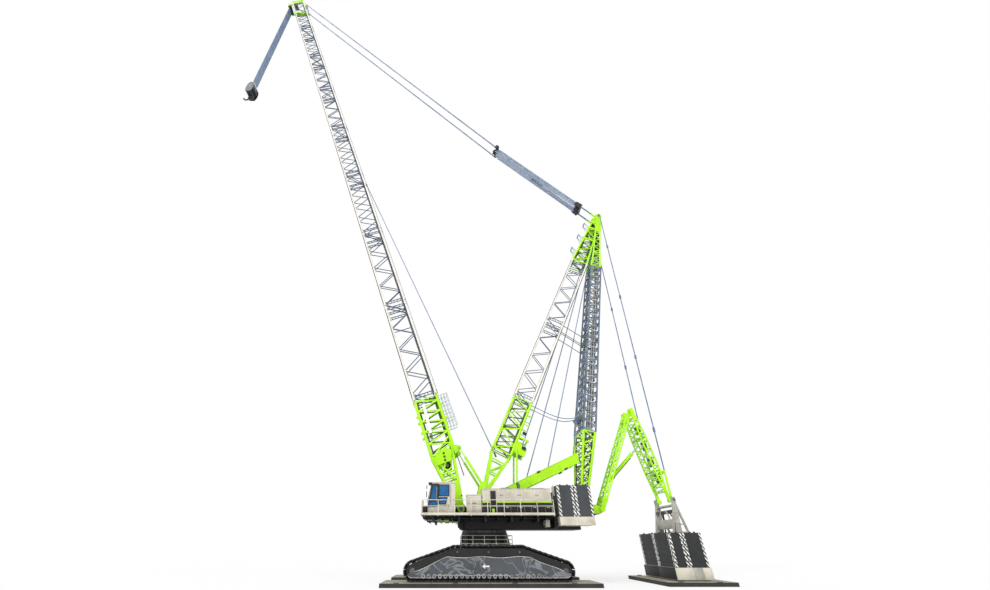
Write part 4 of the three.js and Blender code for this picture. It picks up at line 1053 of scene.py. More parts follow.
def pinned_lengths(tubes, foot, count, rise):
    """One length after another, from the height of the first one's foot."""
    length = joined(tubes)
    for vertex in length.data.vertices:
        vertex.co.z += foot
    return [repeat(length, count, (0, 0, rise))]


section = lattice_section(SECTION, 4, BOOM_HALF, BOOM_HALF_WIDTH, CHORD, LACING)
erect(pinned_lengths(section, BASE_TOP, SECTIONS, SECTION), BOOM, "boom_sections", "boom",
      "cream_paint", "boom_lower", "boom_upper")
# Near-black steel for the catwalk on the boom's rear face and for the mast ladder: partly the
# grating's own dark steel, partly painted shade for the dark between the rear chords.
walk_steel_and_shade = coating("walkway_steel_and_shade", "22272E", "3B434E", 0.55, metallic=0.3, patch=20.0)
WALK_Z = (1.2, 11.79)
grating = block((0.12, 0.1235), (-0.112, 0.112), (WALK_Z[0], WALK_Z[0] + 0.006), walk_steel_and_shade)
catwalk = [repeat(grating, 424, (0, 0, 0.025))]
catwalk += [block((0.116, 0.1235), (y - 0.003, y + 0.003), WALK_Z, walk_steel_and_shade)
            for y in (-0.112, -0.056, 0.0, 0.056, 0.112)]
catwalk += [upright(x, y, WALK_Z, radius, walk_steel_and_shade, 6) for y in (-0.142, 0.142)
            for x, radius in ((-0.144, 0.0042), (0.113, 0.0036))]
erect(catwalk, BOOM, "boom_catwalk", "boom", "black_steel")
guides = []
for k in range(SECTIONS):
    z = BASE_TOP + SECTION * k + 0.04
    guides.append(block((0.142, 0.157), (-0.1, 0.1), (z + 0.02, z + 0.028), lacing_blue, 0.002))
for z in (2.1, 5.1, 8.2):
    guides.append(block((-0.11, 0.11), (-0.14, -0.134), (z, z + 0.012), lacing_blue, 0.002))
erect(guides, BOOM, "boom_rope_guides", "boom", "lacing_paint")
lines = [upright(0.154, y, (1.2, 11.6), 0.0032, rope_grey, 6) for y in (-0.09, 0.09)]
erect(lines, BOOM, "boom_signal_lines", "boom", "rope_steel")

# Boom head: a lime-green welded box on a laced length, with the hoist sheaves on its front
# corner, guide sheaves at its rear and the ears for the boom stays.
HEAD_TOP = 11.98
HOIST_PIN = (-0.215, 11.828)
head = laced((BOOM_TOP + 0.004, -BOOM_HALF, BOOM_HALF, BOOM_HALF_WIDTH),
             (HEAD_TOP - 0.05, -BOOM_HALF, BOOM_HALF, BOOM_HALF_WIDTH), 3, 0.015, 0.0085, lime,
             lime)
for x in (-0.1425, 0.1305):
    head += [block((x, x + 0.012), (-0.103, 0.103), (11.872, 11.925), lime, 0.003),
             block((x, x + 0.012), (-0.128, 0.128), (11.716, 11.744), lime, 0.003)]
cheek = plate(((-0.1425, 11.81), (0.1425, 11.81), (0.16, 11.93), (0.132, HEAD_TOP),
               (-0.132, HEAD_TOP), (-0.225, 11.88), (-0.235, 11.812), (-0.2, 11.792)),
              (-0.124, -0.104), lime, 0.004)
head.append(both_sides(cheek))
rib = plate(((-0.19, 11.83), (0.13, 11.84), (0.135, 11.88), (-0.19, 11.87)), (-0.13, -0.123), lime,
            0.003)
head.append(both_sides(rib))
for x, z in ((0.122, 11.955), (-0.122, 11.955), (0.128, 11.834), (-0.128, 11.834)):
    head.append(across(x, (-0.11, 0.11), z, 0.014, lime, 16))
for y in (-0.143, 0.136):
    head.append(block((-0.142, 0.142), (y, y + 0.007), (11.814, 11.85), lime, 0.002))
for x in (-0.1425, 0.1355):
    head.append(block((x, x + 0.007), (-0.143, 0.143), (11.814, 11.85), lime, 0.002))
head.append(block((0.124, 0.1425), (-0.12, 0.12), (11.64, 11.8), lime, 0.003))
ear = plate(((0.1225, 11.62), (0.2045, 11.7), (0.2045, 11.754), (0.1225, 11.83)), (-0.119, -0.109),
            lime, 0.003)
head.append(both_sides(ear))


def sheave(x, z, radius, width, material, y):
    """A rope wheel: a rim with a groove round it, turned from a disc."""
    deselect()
    bpy.ops.mesh.primitive_cylinder_add(vertices=32, radius=radius, depth=width, location=(x, y, z),
                                        rotation=(math.pi / 2, 0, 0))
    wheel = settle(bpy.context.object)
    open_mesh()
    bpy.ops.mesh.bisect(plane_co=(x, y, z), plane_no=(0, 1, 0))
    bpy.ops.transform.resize(value=(0.9, 1, 0.9), center_override=(x, y, z))
    bpy.ops.mesh.select_mode(type="FACE")
    bpy.ops.mesh.select_all(action="DESELECT")
    close_mesh()
    for face in wheel.data.polygons:
        face.select = abs(face.normal.y) > 0.9
    bpy.ops.object.mode_set(mode="EDIT")
    bpy.ops.mesh.inset(thickness=radius * 0.22, depth=-width * 0.22)
    bpy.ops.mesh.inset(thickness=radius * 0.4, depth=0)
    bpy.ops.mesh.inset(thickness=radius * 0.02, depth=width * 0.3)
    bpy.ops.mesh.select_mode(type="VERT")
    close_mesh()
    return paint(wheel, material)


head.append(across(HOIST_PIN[0], (-0.127, 0.127), HOIST_PIN[1], 0.016, pin_steel, 20))
erect(head, BOOM, "boom_head_box", "boom", "lime_paint", "boom_head")
sheave_dark = coating("sheave_steel", "2A2D33", "45494F", 0.4, metallic=0.5, patch=16.0)
wheels = []
for k in range(8):
    wheels.append(sheave(*HOIST_PIN, 0.044, 0.018, sheave_dark, -0.084 + 0.024 * k))
for k in range(4):
    wheels += [sheave(0.138, 11.905, 0.04, 0.018, sheave_dark, -0.045 + 0.03 * k),
               sheave(-0.06, 11.925, 0.044, 0.018, sheave_dark, -0.045 + 0.03 * k)]
erect(wheels, BOOM, "boom_head_sheaves", "boom", "black_steel")

# Hook block: black sheave case between steel cheeks under many falls of wire rope, with a
# pale top bracket and a forged double hook below.
HOOK_X = -4.4003
HOOK_AXLE = 8.09
hook_black = coating("hook_black", "17181B", "303338", 0.45, metallic=0.3, patch=10.0)
falls = [upright(HOOK_X - 0.003, -0.077 + 0.014 * k, (8.255, 11.665), 0.0054, rope_grey, 6)
         for k in range(12)]
for z in (8.262, 8.272):
    falls.append(block((HOOK_X - 0.008, HOOK_X + 0.008), (-0.08, 0.08), (z, z + 0.006), rope_grey,
                       0.002))
fit(falls, "hoist_ropes", "hook", "rope_steel", "hook_ropes")
case = plate(((HOOK_X - 0.05, 7.92), (HOOK_X + 0.05, 7.92), (HOOK_X + 0.072, 8.01),
              (HOOK_X + 0.072, 8.13), (HOOK_X + 0.04, 8.24), (HOOK_X - 0.04, 8.24),
              (HOOK_X - 0.072, 8.13), (HOOK_X - 0.072, 8.01)), (-0.11, -0.096), hook_black, 0.004)
block_parts = [both_sides(case)]
block_parts += [block((HOOK_X - 0.045, HOOK_X + 0.045), (-0.098, 0.098), (7.93, 7.985), hook_black,
                      0.006),
                across(HOOK_X, (-0.1125, 0.1125), HOOK_AXLE, 0.016, pin_steel, 20)]
for k in range(7):
    block_parts.append(sheave(HOOK_X, HOOK_AXLE, 0.066, 0.019, sheave_dark, -0.078 + 0.026 * k))
for x in (-0.052, 0.052):
    block_parts.append(across(HOOK_X + x, (-0.1, 0.1), 8.18, 0.006, hook_black, 12))
block_parts += [block((HOOK_X - 0.04, HOOK_X + 0.04), (-0.109, 0.109), (8.196, 8.25), name_panel,
                      0.006),
                upright(HOOK_X, 0, (7.845, 7.935), 0.022, hook_black, 20)]
deselect()
bpy.ops.mesh.primitive_torus_add(major_radius=0.048, minor_radius=0.0135, major_segments=40,
                                 minor_segments=14, location=(HOOK_X + 0.046, 0, 7.832),
                                 rotation=(math.pi / 2, 0, 0))
bill = settle(bpy.context.object)
open_mesh()
bpy.ops.mesh.bisect(plane_co=(HOOK_X + 0.046, 0, 7.842), plane_no=(0.15, 0, 1), clear_outer=True,
                    use_fill=True)
close_mesh()
paint(bill, hook_black)
only(bill)
bpy.ops.object.duplicate()
other_bill = bpy.context.object
for vertex in other_bill.data.vertices:
    vertex.co.x = 2 * HOOK_X - vertex.co.x
open_mesh()
bpy.ops.mesh.flip_normals()
close_mesh()
block_parts += [bill, other_bill]
fit(block_parts, "hook_block_case", "hook", "black_steel", "hook_block")

# Backstops: telescoping tubes that stop the boom from falling back. Two green barrels on the
# posts of the machine deck hold green rods pinned to the boom base.
BACKSTOP_PIN = (-0.01, 0.81)
BACKSTOP_EYE = (-0.246, 1.17)


def span(start, end):
    """Length and inclination of the line from one (x, z) to another."""
    return (math.hypot(end[0] - start[0], end[1] - start[1]),
            math.degrees(math.atan2(end[1] - start[1], end[0] - start[0])))


_, backstop_lean = span(BACKSTOP_PIN, BACKSTOP_EYE)
paint_nodes(lime, "backstop_frame", "left_backstop_barrel", "right_backstop_barrel",
            "left_backstop_rod", "right_backstop_rod")
collars = [upright(0, -0.178, (0.302, 0.317), 0.0155, lime, 20),
           upright(0, -0.178, (0.024, 0.036), 0.015, lime, 20),
           upright(0, -0.1955, (0.12, 0.128), 0.003, lime)]
erect([both_sides(joined(collars))], (BACKSTOP_PIN, backstop_lean), "backstop_collars",
      "backstop_barrels", "lime_paint")
posts = [block((-0.078, -0.034), (-0.2245, -0.1965), (0.536, 0.546), lime, 0.002),
         plate(((-0.066, 0.58), (-0.04, 0.58), (-0.03, 0.7), (-0.056, 0.712)), (-0.225, -0.2215),
               lime_painted_shade, 0.001)]
fit_pair(posts, "backstop_post_plates", "superstructure", "lime_paint")

# Superlift mast: a pinned lattice mast that leans back over the machine. Its foot and head
# are lime green, its middle cream with blue-grey lacing, and a winch sits behind its base.
MAST_FOOT = (0.02, 0.76)
MAST_HEAD = (1.9, 4.53)
MAST_HALF = 0.115
MAST_HALF_WIDTH = 0.12
mast_length, mast_lean = span(MAST_FOOT, MAST_HEAD)
MAST = (MAST_FOOT, mast_lean)
mast = [both_sides(plate(((-0.026, -0.014), (0.026, -0.014), (MAST_HALF, 0.42), (0.09, 0.42),
                          (0.0, 0.07), (-0.09, 0.42), (-MAST_HALF, 0.42)), (-0.08, -0.058), lime,
                         0.003)),
        both_sides(across(0, (-0.0835, -0.056), 0, 0.027, lime, 24))]
for hand in (-1, 1):
    for x in (-0.104, 0.104):
        mast.append(tube((x, hand * 0.069, 0.392), (x, hand * 0.109, 0.44), 0.011, lime, 10))
    for x, z in ((0.08, 0.33), (0.045, 0.2)):
        mast.append(tube((-x, hand * 0.069, z), (x, hand * 0.069, z), 0.008, lime))
    mast.append(tube((-0.045, hand * 0.069, 0.2), (0.08, hand * 0.069, 0.33), 0.007, lime))
for z, x in ((0.2, 0.045), (0.33, 0.08)):
    for side in (-1, 1):
        mast.append(across(side * x, (-0.069, 0.069), z, 0.008, lime))
mast += laced((0.434, -MAST_HALF, MAST_HALF, MAST_HALF_WIDTH),
              (1.0555, -MAST_HALF, MAST_HALF, MAST_HALF_WIDTH), 3, 0.013, 0.0075, lime, lime)
# An inner laced box in the shaded lime, standing for the dark inside of the mast foot: painted
# shade.
mast += laced((0.45, -0.085, 0.085, 0.092), (1.03, -0.085, 0.085, 0.092), 5, 0.0055, 0.0045,
              lime_painted_shade, lime_painted_shade, 8)
mast += [both_sides(plate(((0.107, 0.48), (0.235, 0.48), (0.235, 0.56), (0.107, 0.61)),
                          (-0.114, -0.098), lime, 0.003)),
         both_sides(block((0.1, 0.225), (-0.112, -0.1), (0.64, 0.66), lime, 0.003)),
         across(0.21, (-0.1, 0.1), 0.65, 0.01, lime, 12),
         block((MAST_HALF - 0.026, MAST_HALF), (-0.112, 0.112), (1.038, 1.0555), lime, 0.002)]
for y in (-0.06, 0.06):
    mast.append(tube((0.1085, y, 1.049), (0.1148, y, 1.049), 0.01, lime_painted_shade, 16))
erect(mast, MAST, "mast_base_frame", "superstructure", "lime_paint", "mast_base")
erect(winch(0.181, 0.52, 0.044, 0.094, 16), MAST, "mast_winch", "superstructure", "lime_paint")
gear = []
for z in (0.74, 0.8, 0.9, 0.98):
    gear.append(both_sides(tube((0.115, -0.11, z), (0.17, -0.11, z), 0.005, lime)))
for x, z in ((0.15, 0.705), (0.2, 0.56)):
    gear.append(both_sides(block((x - 0.022, x + 0.022), (-0.128, -0.114), (z - 0.016, z + 0.016),
                                 frame_black, 0.003)))
for k in range(3):
    finish = frame_black if k % 2 else lime
    gear.append(both_sides(tube((0.06 + 0.052 * k, -0.083, 0.04 + 0.03 * k),
                                (0.12 + 0.052 * k, -0.083, 0.016 + 0.03 * k), 0.007, finish)))
erect(gear, MAST, "mast_base_gear", "superstructure", "lime_paint")
MAST_SECTIONS = 2
MAST_BASE_TOP = 1.06
MAST_TOP = 3.26
rise = (MAST_TOP - MAST_BASE_TOP) / MAST_SECTIONS
section = lattice_section(rise, 4, MAST_HALF, MAST_HALF_WIDTH, 0.0105, 0.0048)
erect(pinned_lengths(section, MAST_BASE_TOP, MAST_SECTIONS, rise), MAST, "mast_sections",
      "superstructure", "cream_paint", "mast_middle")
rungs = [block((0.116, 0.1215), (y - 0.003, y + 0.003), (1.11, 3.25), walk_steel_and_shade)
         for y in (-0.1, -0.04)]
for k in range(54):
    z = 1.125 + 0.0396 * k
    rungs.append(block((0.115, 0.1225), (-0.1, -0.04), (z, z + 0.005), walk_steel_and_shade))
for y in (-0.113, 0.113):
    rungs.append(upright(-0.1165, y, (1.07, 3.25), 0.0036, walk_steel_and_shade, 6))
erect(rungs, MAST, "mast_ladder", "superstructure", "lacing_paint")
top = laced((MAST_TOP + 0.004, -MAST_HALF, MAST_HALF, MAST_HALF_WIDTH),
            (mast_length - 0.13, -0.065, 0.065, MAST_HALF_WIDTH), 4, 0.0125, 0.0075, lime, lime)
top += [both_sides(plate(((-0.065, mast_length - 0.17), (0.065, mast_length - 0.17),
                          (0.045, mast_length + 0.036), (0.02, mast_length + 0.04),
                          (-0.045, mast_length + 0.036)), (-0.12, -0.096), lime, 0.004)),
        across(0, (-0.15, 0.15), mast_length, 0.018, pin_steel, 24)]
for z in (3.7, 3.93, 4.12):
    for hand in (-1, 1):
        top.append(block((-0.1 + (z - 3.7) * 0.06, 0.1 - (z - 3.7) * 0.06),
                         (hand * 0.112 - 0.008, hand * 0.112 + 0.008), (z, z + 0.026), lime, 0.003))
# An inner laced box in the shaded lime, standing for the dark inside of the mast head: painted
# shade.
top += laced((MAST_TOP + 0.02, -0.086, 0.086, 0.092), (mast_length - 0.2, -0.046, 0.046, 0.092), 6,
             0.006, 0.0046, lime_painted_shade, lime_painted_shade, 8)
erect(top, MAST, "mast_head_frame", "superstructure", "lime_paint", "mast_head")
wheels = [sheave(-0.03, mast_length - 0.075, 0.04, 0.016, sheave_dark, -0.066 + 0.022 * k)
          for k in range(7)]
for z in (4.02, 3.76, 3.48):
    x = -0.115 + max(0.0, z - MAST_TOP) * 0.048
    for y in (-0.04, 0.04):
        wheels += [tube((x, y, z), (x - 0.075, y, z + 0.045), 0.0045, walk_grey),
                   tube((x, y, z - 0.05), (x - 0.075, y, z + 0.045), 0.0035, walk_grey)]
    wheels.append(across(x - 0.075, (-0.046, 0.046), z + 0.045, 0.009, walk_grey, 14))
erect(wheels, MAST, "mast_head_sheaves_and_guides", "superstructure", "black_steel")

# Back strut: two sloping lime-green box beams from the machine to the rear mast, tied by
# tubes and stiffened by edge flanges.
paint_nodes(lime, "back_strut")
STRUT_FOOT = (0.0, 0.65)
STRUT_END = (1.27, 1.186)
_, strut_lean = span(STRUT_FOOT, STRUT_END)
strut = []
for x in (-0.0445, 0.0385):
    strut.append(both_sides(block((x, x + 0.006), (-0.145, -0.0955), (0.06, 1.07), lime, 0.001)))
for z in (0.26, 0.5, 0.86):
    strut.append(both_sides(block((-0.036, 0.036), (-0.1445, -0.1415), (z, z + 0.012), lime,
                                  0.002)))
for x, z in ((-0.04, 0.62), (0.045, 0.9)):
    strut.append(both_sides(block((x - 0.01, x + 0.01), (-0.146, -0.13), (z, z + 0.04), lime_painted_shade,
                                  0.003)))
erect(strut, (STRUT_FOOT, strut_lean), "back_strut_flanges", "superstructure", "lime_paint")

# Rear mast: the second lattice mast, nearly upright, which holds the superlift mast's head.
# Lime green at its foot and its tapered top, with closely laced grey sections between.
REAR_FOOT = (0.99, 0.6)
rear_length, rear_lean = span(REAR_FOOT, MAST_HEAD)
REAR_MAST = (REAR_FOOT, rear_lean)
REAR_HALF = 0.075
rear = [both_sides(block((-0.036, 0.036), (-0.125, -0.101), (-0.022, 0.1), lime, 0.004)),
        both_sides(across(0, (-0.1275, -0.099), 0, 0.03, lime, 24))]
rear += laced((0.07, -0.04, 0.04, 0.125), (0.756, -REAR_HALF, REAR_HALF, 0.2), 5, 0.0125, 0.007,
              lime, lime)
# An inner laced box with black chords and shaded lime lacing, standing for the dark inside of the
# mast foot: painted shade.
rear += laced((0.11, -0.034, 0.034, 0.096), (0.745, -0.052, 0.052, 0.165), 7, 0.006, 0.005,
              frame_black, lime_painted_shade, 8)
erect(rear, REAR_MAST, "rear_mast_base_frame", "superstructure", "lime_paint", "rear_mast_base")
rear_grey = coating("rear_lacing_paint", "7A8797", "4B545F", 0.45, patch=5.0)
middle = []
for (low, low_half), (high, high_half) in (((0.764, 0.2), (1.912, 0.17)),
                                           ((1.92, 0.17), (3.055, 0.14))):
    middle += laced((low, -REAR_HALF, REAR_HALF, low_half),
                    (high, -REAR_HALF, REAR_HALF, high_half), 10, 0.01, 0.0056, lacing_blue,
                    rear_grey, 10)
middle.append(plate(((-0.062, 0.945), (-0.1026, 0.9367), (-0.0874, 0.9133), (-0.062, 0.905)),
                    (-0.176, 0.176), rear_grey, 0.001))
erect(middle, REAR_MAST, "rear_mast_sections", "superstructure", "lacing_paint", "rear_mast_middle")
# A duct inside the rear mast. Its rails are cream on the near side and black on the far side, and
# its bars and wires are cream and black in turn: painted highlights and painted shade among the
# lacing.
inner = []
for x in (-0.048, 0.048):
    for k in range(7):
        y = -0.108 + 0.036 * k
        inner.append(tube((x, y, 0.78), (x, y * 0.8, 3.6), 0.0045,
                          (rope_grey, frame_black, cream)[k % 3], 6))
for k in range(36):
    z = 0.8 + 0.078 * k
    half = 0.12 - 0.01 * k / 12
    inner += [block((-0.058, 0.058), (-half, -half + 0.006), (z, z + 0.008), cream),
              block((-0.058, 0.058), (half - 0.006, half), (z, z + 0.008), frame_black)]
    finish = frame_black if k % 3 else cream
    inner += [block((0.05, 0.058), (-half, half), (z + 0.03, z + 0.042), finish),
              block((-0.058, -0.052), (-half, half), (z + 0.01, z + 0.018), rear_grey)]
erect(inner, REAR_MAST, "rear_mast_rope_duct", "superstructure", "black_steel")
top_end = rear_length - 0.72
cheek_foot = rear_length - 0.3
top = laced((3.064, -REAR_HALF, REAR_HALF, 0.14), (top_end, -0.055, 0.055, 0.14), 2, 0.012, 0.007,
            lime, lime)
top += laced((top_end, -0.055, 0.055, 0.14), (cheek_foot, -0.044, 0.044, 0.14), 4, 0.01, 0.006,
             lime, lime)
top.append(both_sides(plate(((-0.046, cheek_foot - 0.02), (0.046, cheek_foot - 0.02),
                             (0.034, rear_length + 0.02), (0.018, rear_length + 0.034),
                             (-0.018, rear_length + 0.034), (-0.034, rear_length + 0.02)),
                            (-0.14, -0.126), lime, 0.003)))
for z in (top_end + 0.1, top_end + 0.23, top_end + 0.36):
    top.append(block((-0.036, 0.036), (-0.128, 0.128), (z, z + 0.012), lime_painted_shade, 0.003))
for y in (-0.09, -0.03, 0.03, 0.09):
    top.append(tube((0.012, y, 3.07), (0.012, y * 0.9, rear_length - 0.1), 0.0045, rope_grey, 6))
erect(top, REAR_MAST, "rear_mast_head_frame", "superstructure", "lime_paint", "rear_mast_head")
struts = [tube((1.03, -0.1, low), (x, -0.1, high), 0.0045, lime_painted_shade)
          for low, x, high in ((2.59, 1.33, 2.36), (2.71, 1.355, 2.46))]
fit_pair(struts, "mast_spacer_struts", "superstructure", "lacing_paint")

# Boom stays: two long pendants of flat steel links from the boom head to a floating block,
# and from there a tackle of many rope falls to the block on the mast head.
STAY_PIN = (-3.985, 11.71)
BLOCK_PIN = (0.43, 6.19)
stay_length, stay_lean = span(STAY_PIN, BLOCK_PIN)
pendant_blue = coating("pendant_paint", "6F87A6", "4C5C73", 0.45, metallic=0.2, patch=7.0)
fall_grey = coating("fall_wire", "B4C1D3", "98A8BE", 0.5, metallic=0.1, patch=9.0)
FALL_RADIUS = 0.0036
FALL_ROWS = (-0.03, -0.015, 0.0, 0.015, 0.03)
BARS = 9
bar_length = (stay_length - 0.0315) / BARS
bar = [block((-0.0095, 0.0095), y, (0.02, bar_length - 0.01), pendant_blue, 0.0008)
       for y in ((-0.1052, -0.1012), (-0.0988, -0.0948))]
bar += [block((-0.01, 0.01), (-0.1065, -0.0935), (-0.012, 0.03), pendant_blue, 0.002),
        across(0, (-0.108, -0.092), 0.009, 0.006, pin_steel, 12)]
stays = [both_sides(repeat(joined(bar), BARS, (0, 0, bar_length))),
         across(0, (-0.106, 0.106), 0, 0.009, pin_steel, 20)]
erect(stays, (STAY_PIN, stay_lean), "stay_pendants", "boom_stays", "rope_steel", "boom_pendants")
tackle_length, tackle_lean = span(BLOCK_PIN, MAST_HEAD)
TACKLE = (BLOCK_PIN, tackle_lean)
block_side = plate(((-0.044, -0.03), (0.044, -0.03), (0.036, 0.09), (-0.036, 0.09)),
                   (-0.03, -0.0255), hook_black, 0.002)
floating = [both_sides(block_side),
            across(0, (-0.0315, 0.0315), 0.03, 0.009, pin_steel, 16),
            block((-0.03, 0.03), (-0.026, 0.026), (-0.028, -0.01), hook_black, 0.003),
            block((-0.06, -0.04), (-0.106, 0.106), (-0.03, 0.03), hook_black, 0.004),
            both_sides(block((-0.06, 0.014), (-0.106, -0.09), (-0.03, 0.03), hook_black, 0.004)),
            both_sides(across(0, (-0.1075, -0.0885), 0, 0.01, pin_steel, 16)),
            block((-0.074, -0.061), (-0.03, 0.03), (-0.024, 0.04), name_panel, 0.003),
            both_sides(block((-0.07, -0.061), (-0.1, -0.07), (-0.016, 0.02), name_panel, 0.003))]
floating += [sheave(0, 0.03, 0.04, 0.0095, sheave_dark, -0.018 + 0.012 * k) for k in range(4)]
floating += [upright(x, -0.0245 + 0.007 * k, (0.04, 0.905), FALL_RADIUS, fall_grey, 6)
             for k in range(8) for x in FALL_ROWS]
erect(floating, TACKLE, "floating_block_and_falls", "boom_stays", "black_steel", "floating_block")
start = tackle_length - 0.38 - 0.055
block_side = plate(((-0.04, start), (0.04, start), (0.05, start + 0.11), (-0.05, start + 0.11)),
                   (-0.088, -0.081), hook_black, 0.002)
tackle = [both_sides(block_side),
          across(0, (-0.09, 0.09), start + 0.055, 0.01, pin_steel, 16),
          block((-0.04, 0.04), (-0.083, 0.083), (start + 0.094, start + 0.108), hook_black, 0.003),
          block((-0.064, -0.04), (-0.04, 0.04), (start + 0.01, start + 0.06), hook_black, 0.004),
          block((0.03, 0.06), (-0.07, 0.07), (start + 0.06, start + 0.1), hook_black, 0.004)]
tackle += [sheave(0, start + 0.055, 0.042, 0.012, sheave_dark, -0.07 + 0.0175 * k)
           for k in range(9)]
tackle.append(both_sides(joined([block((-0.009, 0.009), (-0.086, -0.07),
                                       (start + 0.1, tackle_length - 0.06), pendant_blue, 0.003),
                                 across(0, (-0.09, -0.067), tackle_length - 0.15, 0.013, lime, 16),
                                 block((-0.013, 0.013), (-0.088, -0.068),
                                       (tackle_length - 0.12, tackle_length - 0.026), lime,
                                       0.004)])))
tackle += [upright(x, hand * y, (0.092, start + 0.06), FALL_RADIUS, fall_grey, 6)
           for hand in (-1, 1) for y in (0.033, 0.059, 0.0665, 0.074) for x in FALL_ROWS]
tackle.append(both_sides(block((-0.033, 0.033), (-0.078, -0.056), (0.09, 0.098), hook_black,
                               0.002)))
erect(tackle, TACKLE, "mast_block_and_falls", "tackle", "black_steel", "tackle_block")
for hand, side, end in (("left", -1, start - 0.33), ("right", 1, start - 0.67)):
    inner_falls = [upright(x, side * y, (0.027, end), FALL_RADIUS, fall_grey, 6) for x in FALL_ROWS
                   for y in (0.041, 0.049)]
    for z in (0.028, end - 0.008):
        inner_falls.append(block((-0.033, 0.033), (side * 0.045 - 0.006, side * 0.045 + 0.006),
                                 (z, z + 0.006), hook_black, 0.002))
    erect(inner_falls, TACKLE, f"{hand}_inner_falls", f"{hand}_falls", "rope_steel",
          f"{hand}_falls")

# Ballast link: a folding pair of lime-green legs that keeps the hanging ballast at its
# distance. Both legs are laced boxes of welded tube with eye plates at their pins.
LINK_ROOT = (1.186, 0.6)
LINK_APEX = (1.69, 1.58)
HANGER_PIN = (1.865, 0.676)
lower_length, lower_lean = span(LINK_ROOT, LINK_APEX)
lower = [both_sides(across(0, (-0.0975, -0.0665), 0, 0.026, lime, 24)),
         both_sides(across(0, (-0.0975, -0.0665), lower_length, 0.024, lime, 24)),
         both_sides(plate(((-0.02, -0.01), (0.02, -0.01), (0.026, 0.12), (-0.026, 0.12)),
                          (-0.094, -0.072), lime, 0.003)),
         both_sides(plate(((-0.024, lower_length - 0.12), (0.024, lower_length - 0.12),
                           (0.02, lower_length + 0.01), (-0.02, lower_length + 0.01)),
                          (-0.094, -0.072), lime, 0.003))]
lower += laced((0.1, -0.024, 0.024, 0.0945), (lower_length - 0.1, -0.024, 0.024, 0.0945), 8, 0.0085,
               0.0055, lime, lime)
tail = plate(((0.935, 0.566), (1.15, 0.56), (1.2, 0.586), (1.2, 0.614), (1.158, 0.636),
              (0.935, 0.636)), (-0.0655, -0.0625), lime, 0.001)
fit_pair([tail], "tail_ear_plates", "superstructure", "lime_paint")
erect(lower, (LINK_ROOT, lower_lean), "lower_link_frame", "lower_link", "lime_paint", "lower_link")
upper_length, upper_lean = span(LINK_APEX, HANGER_PIN)
upper = [both_sides(across(0, (-0.133, -0.101), 0, 0.022, lime, 24)),
         both_sides(across(0, (-0.133, -0.101), upper_length, 0.02, lime, 24)),
         both_sides(plate(((-0.018, -0.01), (0.018, -0.01), (0.02, 0.1), (-0.03, 0.1)),
                          (-0.129, -0.106), lime, 0.003)),
         both_sides(plate(((-0.014, 0.8), (0.016, 0.8), (0.014, upper_length + 0.01),
                           (-0.012, upper_length + 0.01)), (-0.129, -0.106), lime, 0.003))]
for low, high, bays in (((0.08, -0.03, 0.02, 0.13), (0.3, -0.046, 0.03, 0.13), 3),
                        ((0.3, -0.046, 0.03, 0.13), (0.64, -0.042, 0.03, 0.13), 4),
                        ((0.64, -0.042, 0.03, 0.13), (0.84, -0.014, 0.018, 0.13), 3)):
    upper += laced(low, high, bays, 0.0085, 0.0055, lime, lime)
for z in (0.16, 0.33, 0.5, 0.67):
    upper.append(block((-0.038, -0.03), (-0.06, 0.06), (z, z + 0.09), lime_painted_shade, 0.002))
erect(upper, (LINK_APEX, upper_lean), "upper_link_frame", "upper_link", "lime_paint", "upper_link")
CYLINDER_PIN = (1.32, 0.86)
ROD_PIN = (1.756, 1.24)
_, ram_lean = span(CYLINDER_PIN, ROD_PIN)
paint_nodes(lime, "link_cylinder")
chrome = coating("rod_chrome", "D4D8DC", "AEB4BA", 0.18, metallic=0.9, patch=30.0, relief=0.02)
paint_nodes(chrome, "link_rod")
barrel = [upright(0, 0, (0.402, 0.4255), 0.0195, lime, 24),
          upright(0, 0, (0.034, 0.05), 0.019, lime, 24),
          upright(0.019, 0, (0.08, 0.38), 0.0035, frame_black),
          block((0.012, 0.026), (-0.008, 0.008), (0.06, 0.09), frame_black, 0.002)]
erect(barrel, (CYLINDER_PIN, ram_lean), "link_cylinder_collars", "link_cylinder", "lime_paint")

# Ballast pendants: blue-grey bars from the mast head down to the hanger, spread apart by a
# beam above their green end links.
drop_length, drop_lean = span(MAST_HEAD, HANGER_PIN)
drop = []
for z in (0.6, 1.45, 2.3, 3.15):
    drop += [both_sides(block((-0.01, 0.01), (-0.1735, -0.1525), (z, z + 0.05), pendant_blue,
                              0.003)),
             both_sides(across(0, (-0.175, -0.151), z + 0.012, 0.006, pin_steel, 12))]
drop += [both_sides(block((-0.0055, 0.0055), (-0.1665, -0.1595), (0.02, drop_length - 0.27),
                          pendant_blue, 0.001)),
         both_sides(block((-0.009, 0.009), (-0.1715, -0.1545),
                          (drop_length - 0.24, drop_length - 0.022), lime, 0.003)),
         block((-0.009, 0.009), (-0.172, 0.172), (drop_length - 0.272, drop_length - 0.244), lime,
               0.003)]
erect(drop, (MAST_HEAD, drop_lean), "pendant_bars_and_spreader", "ballast_pendants", "rope_steel",
      "ballast_pendants")

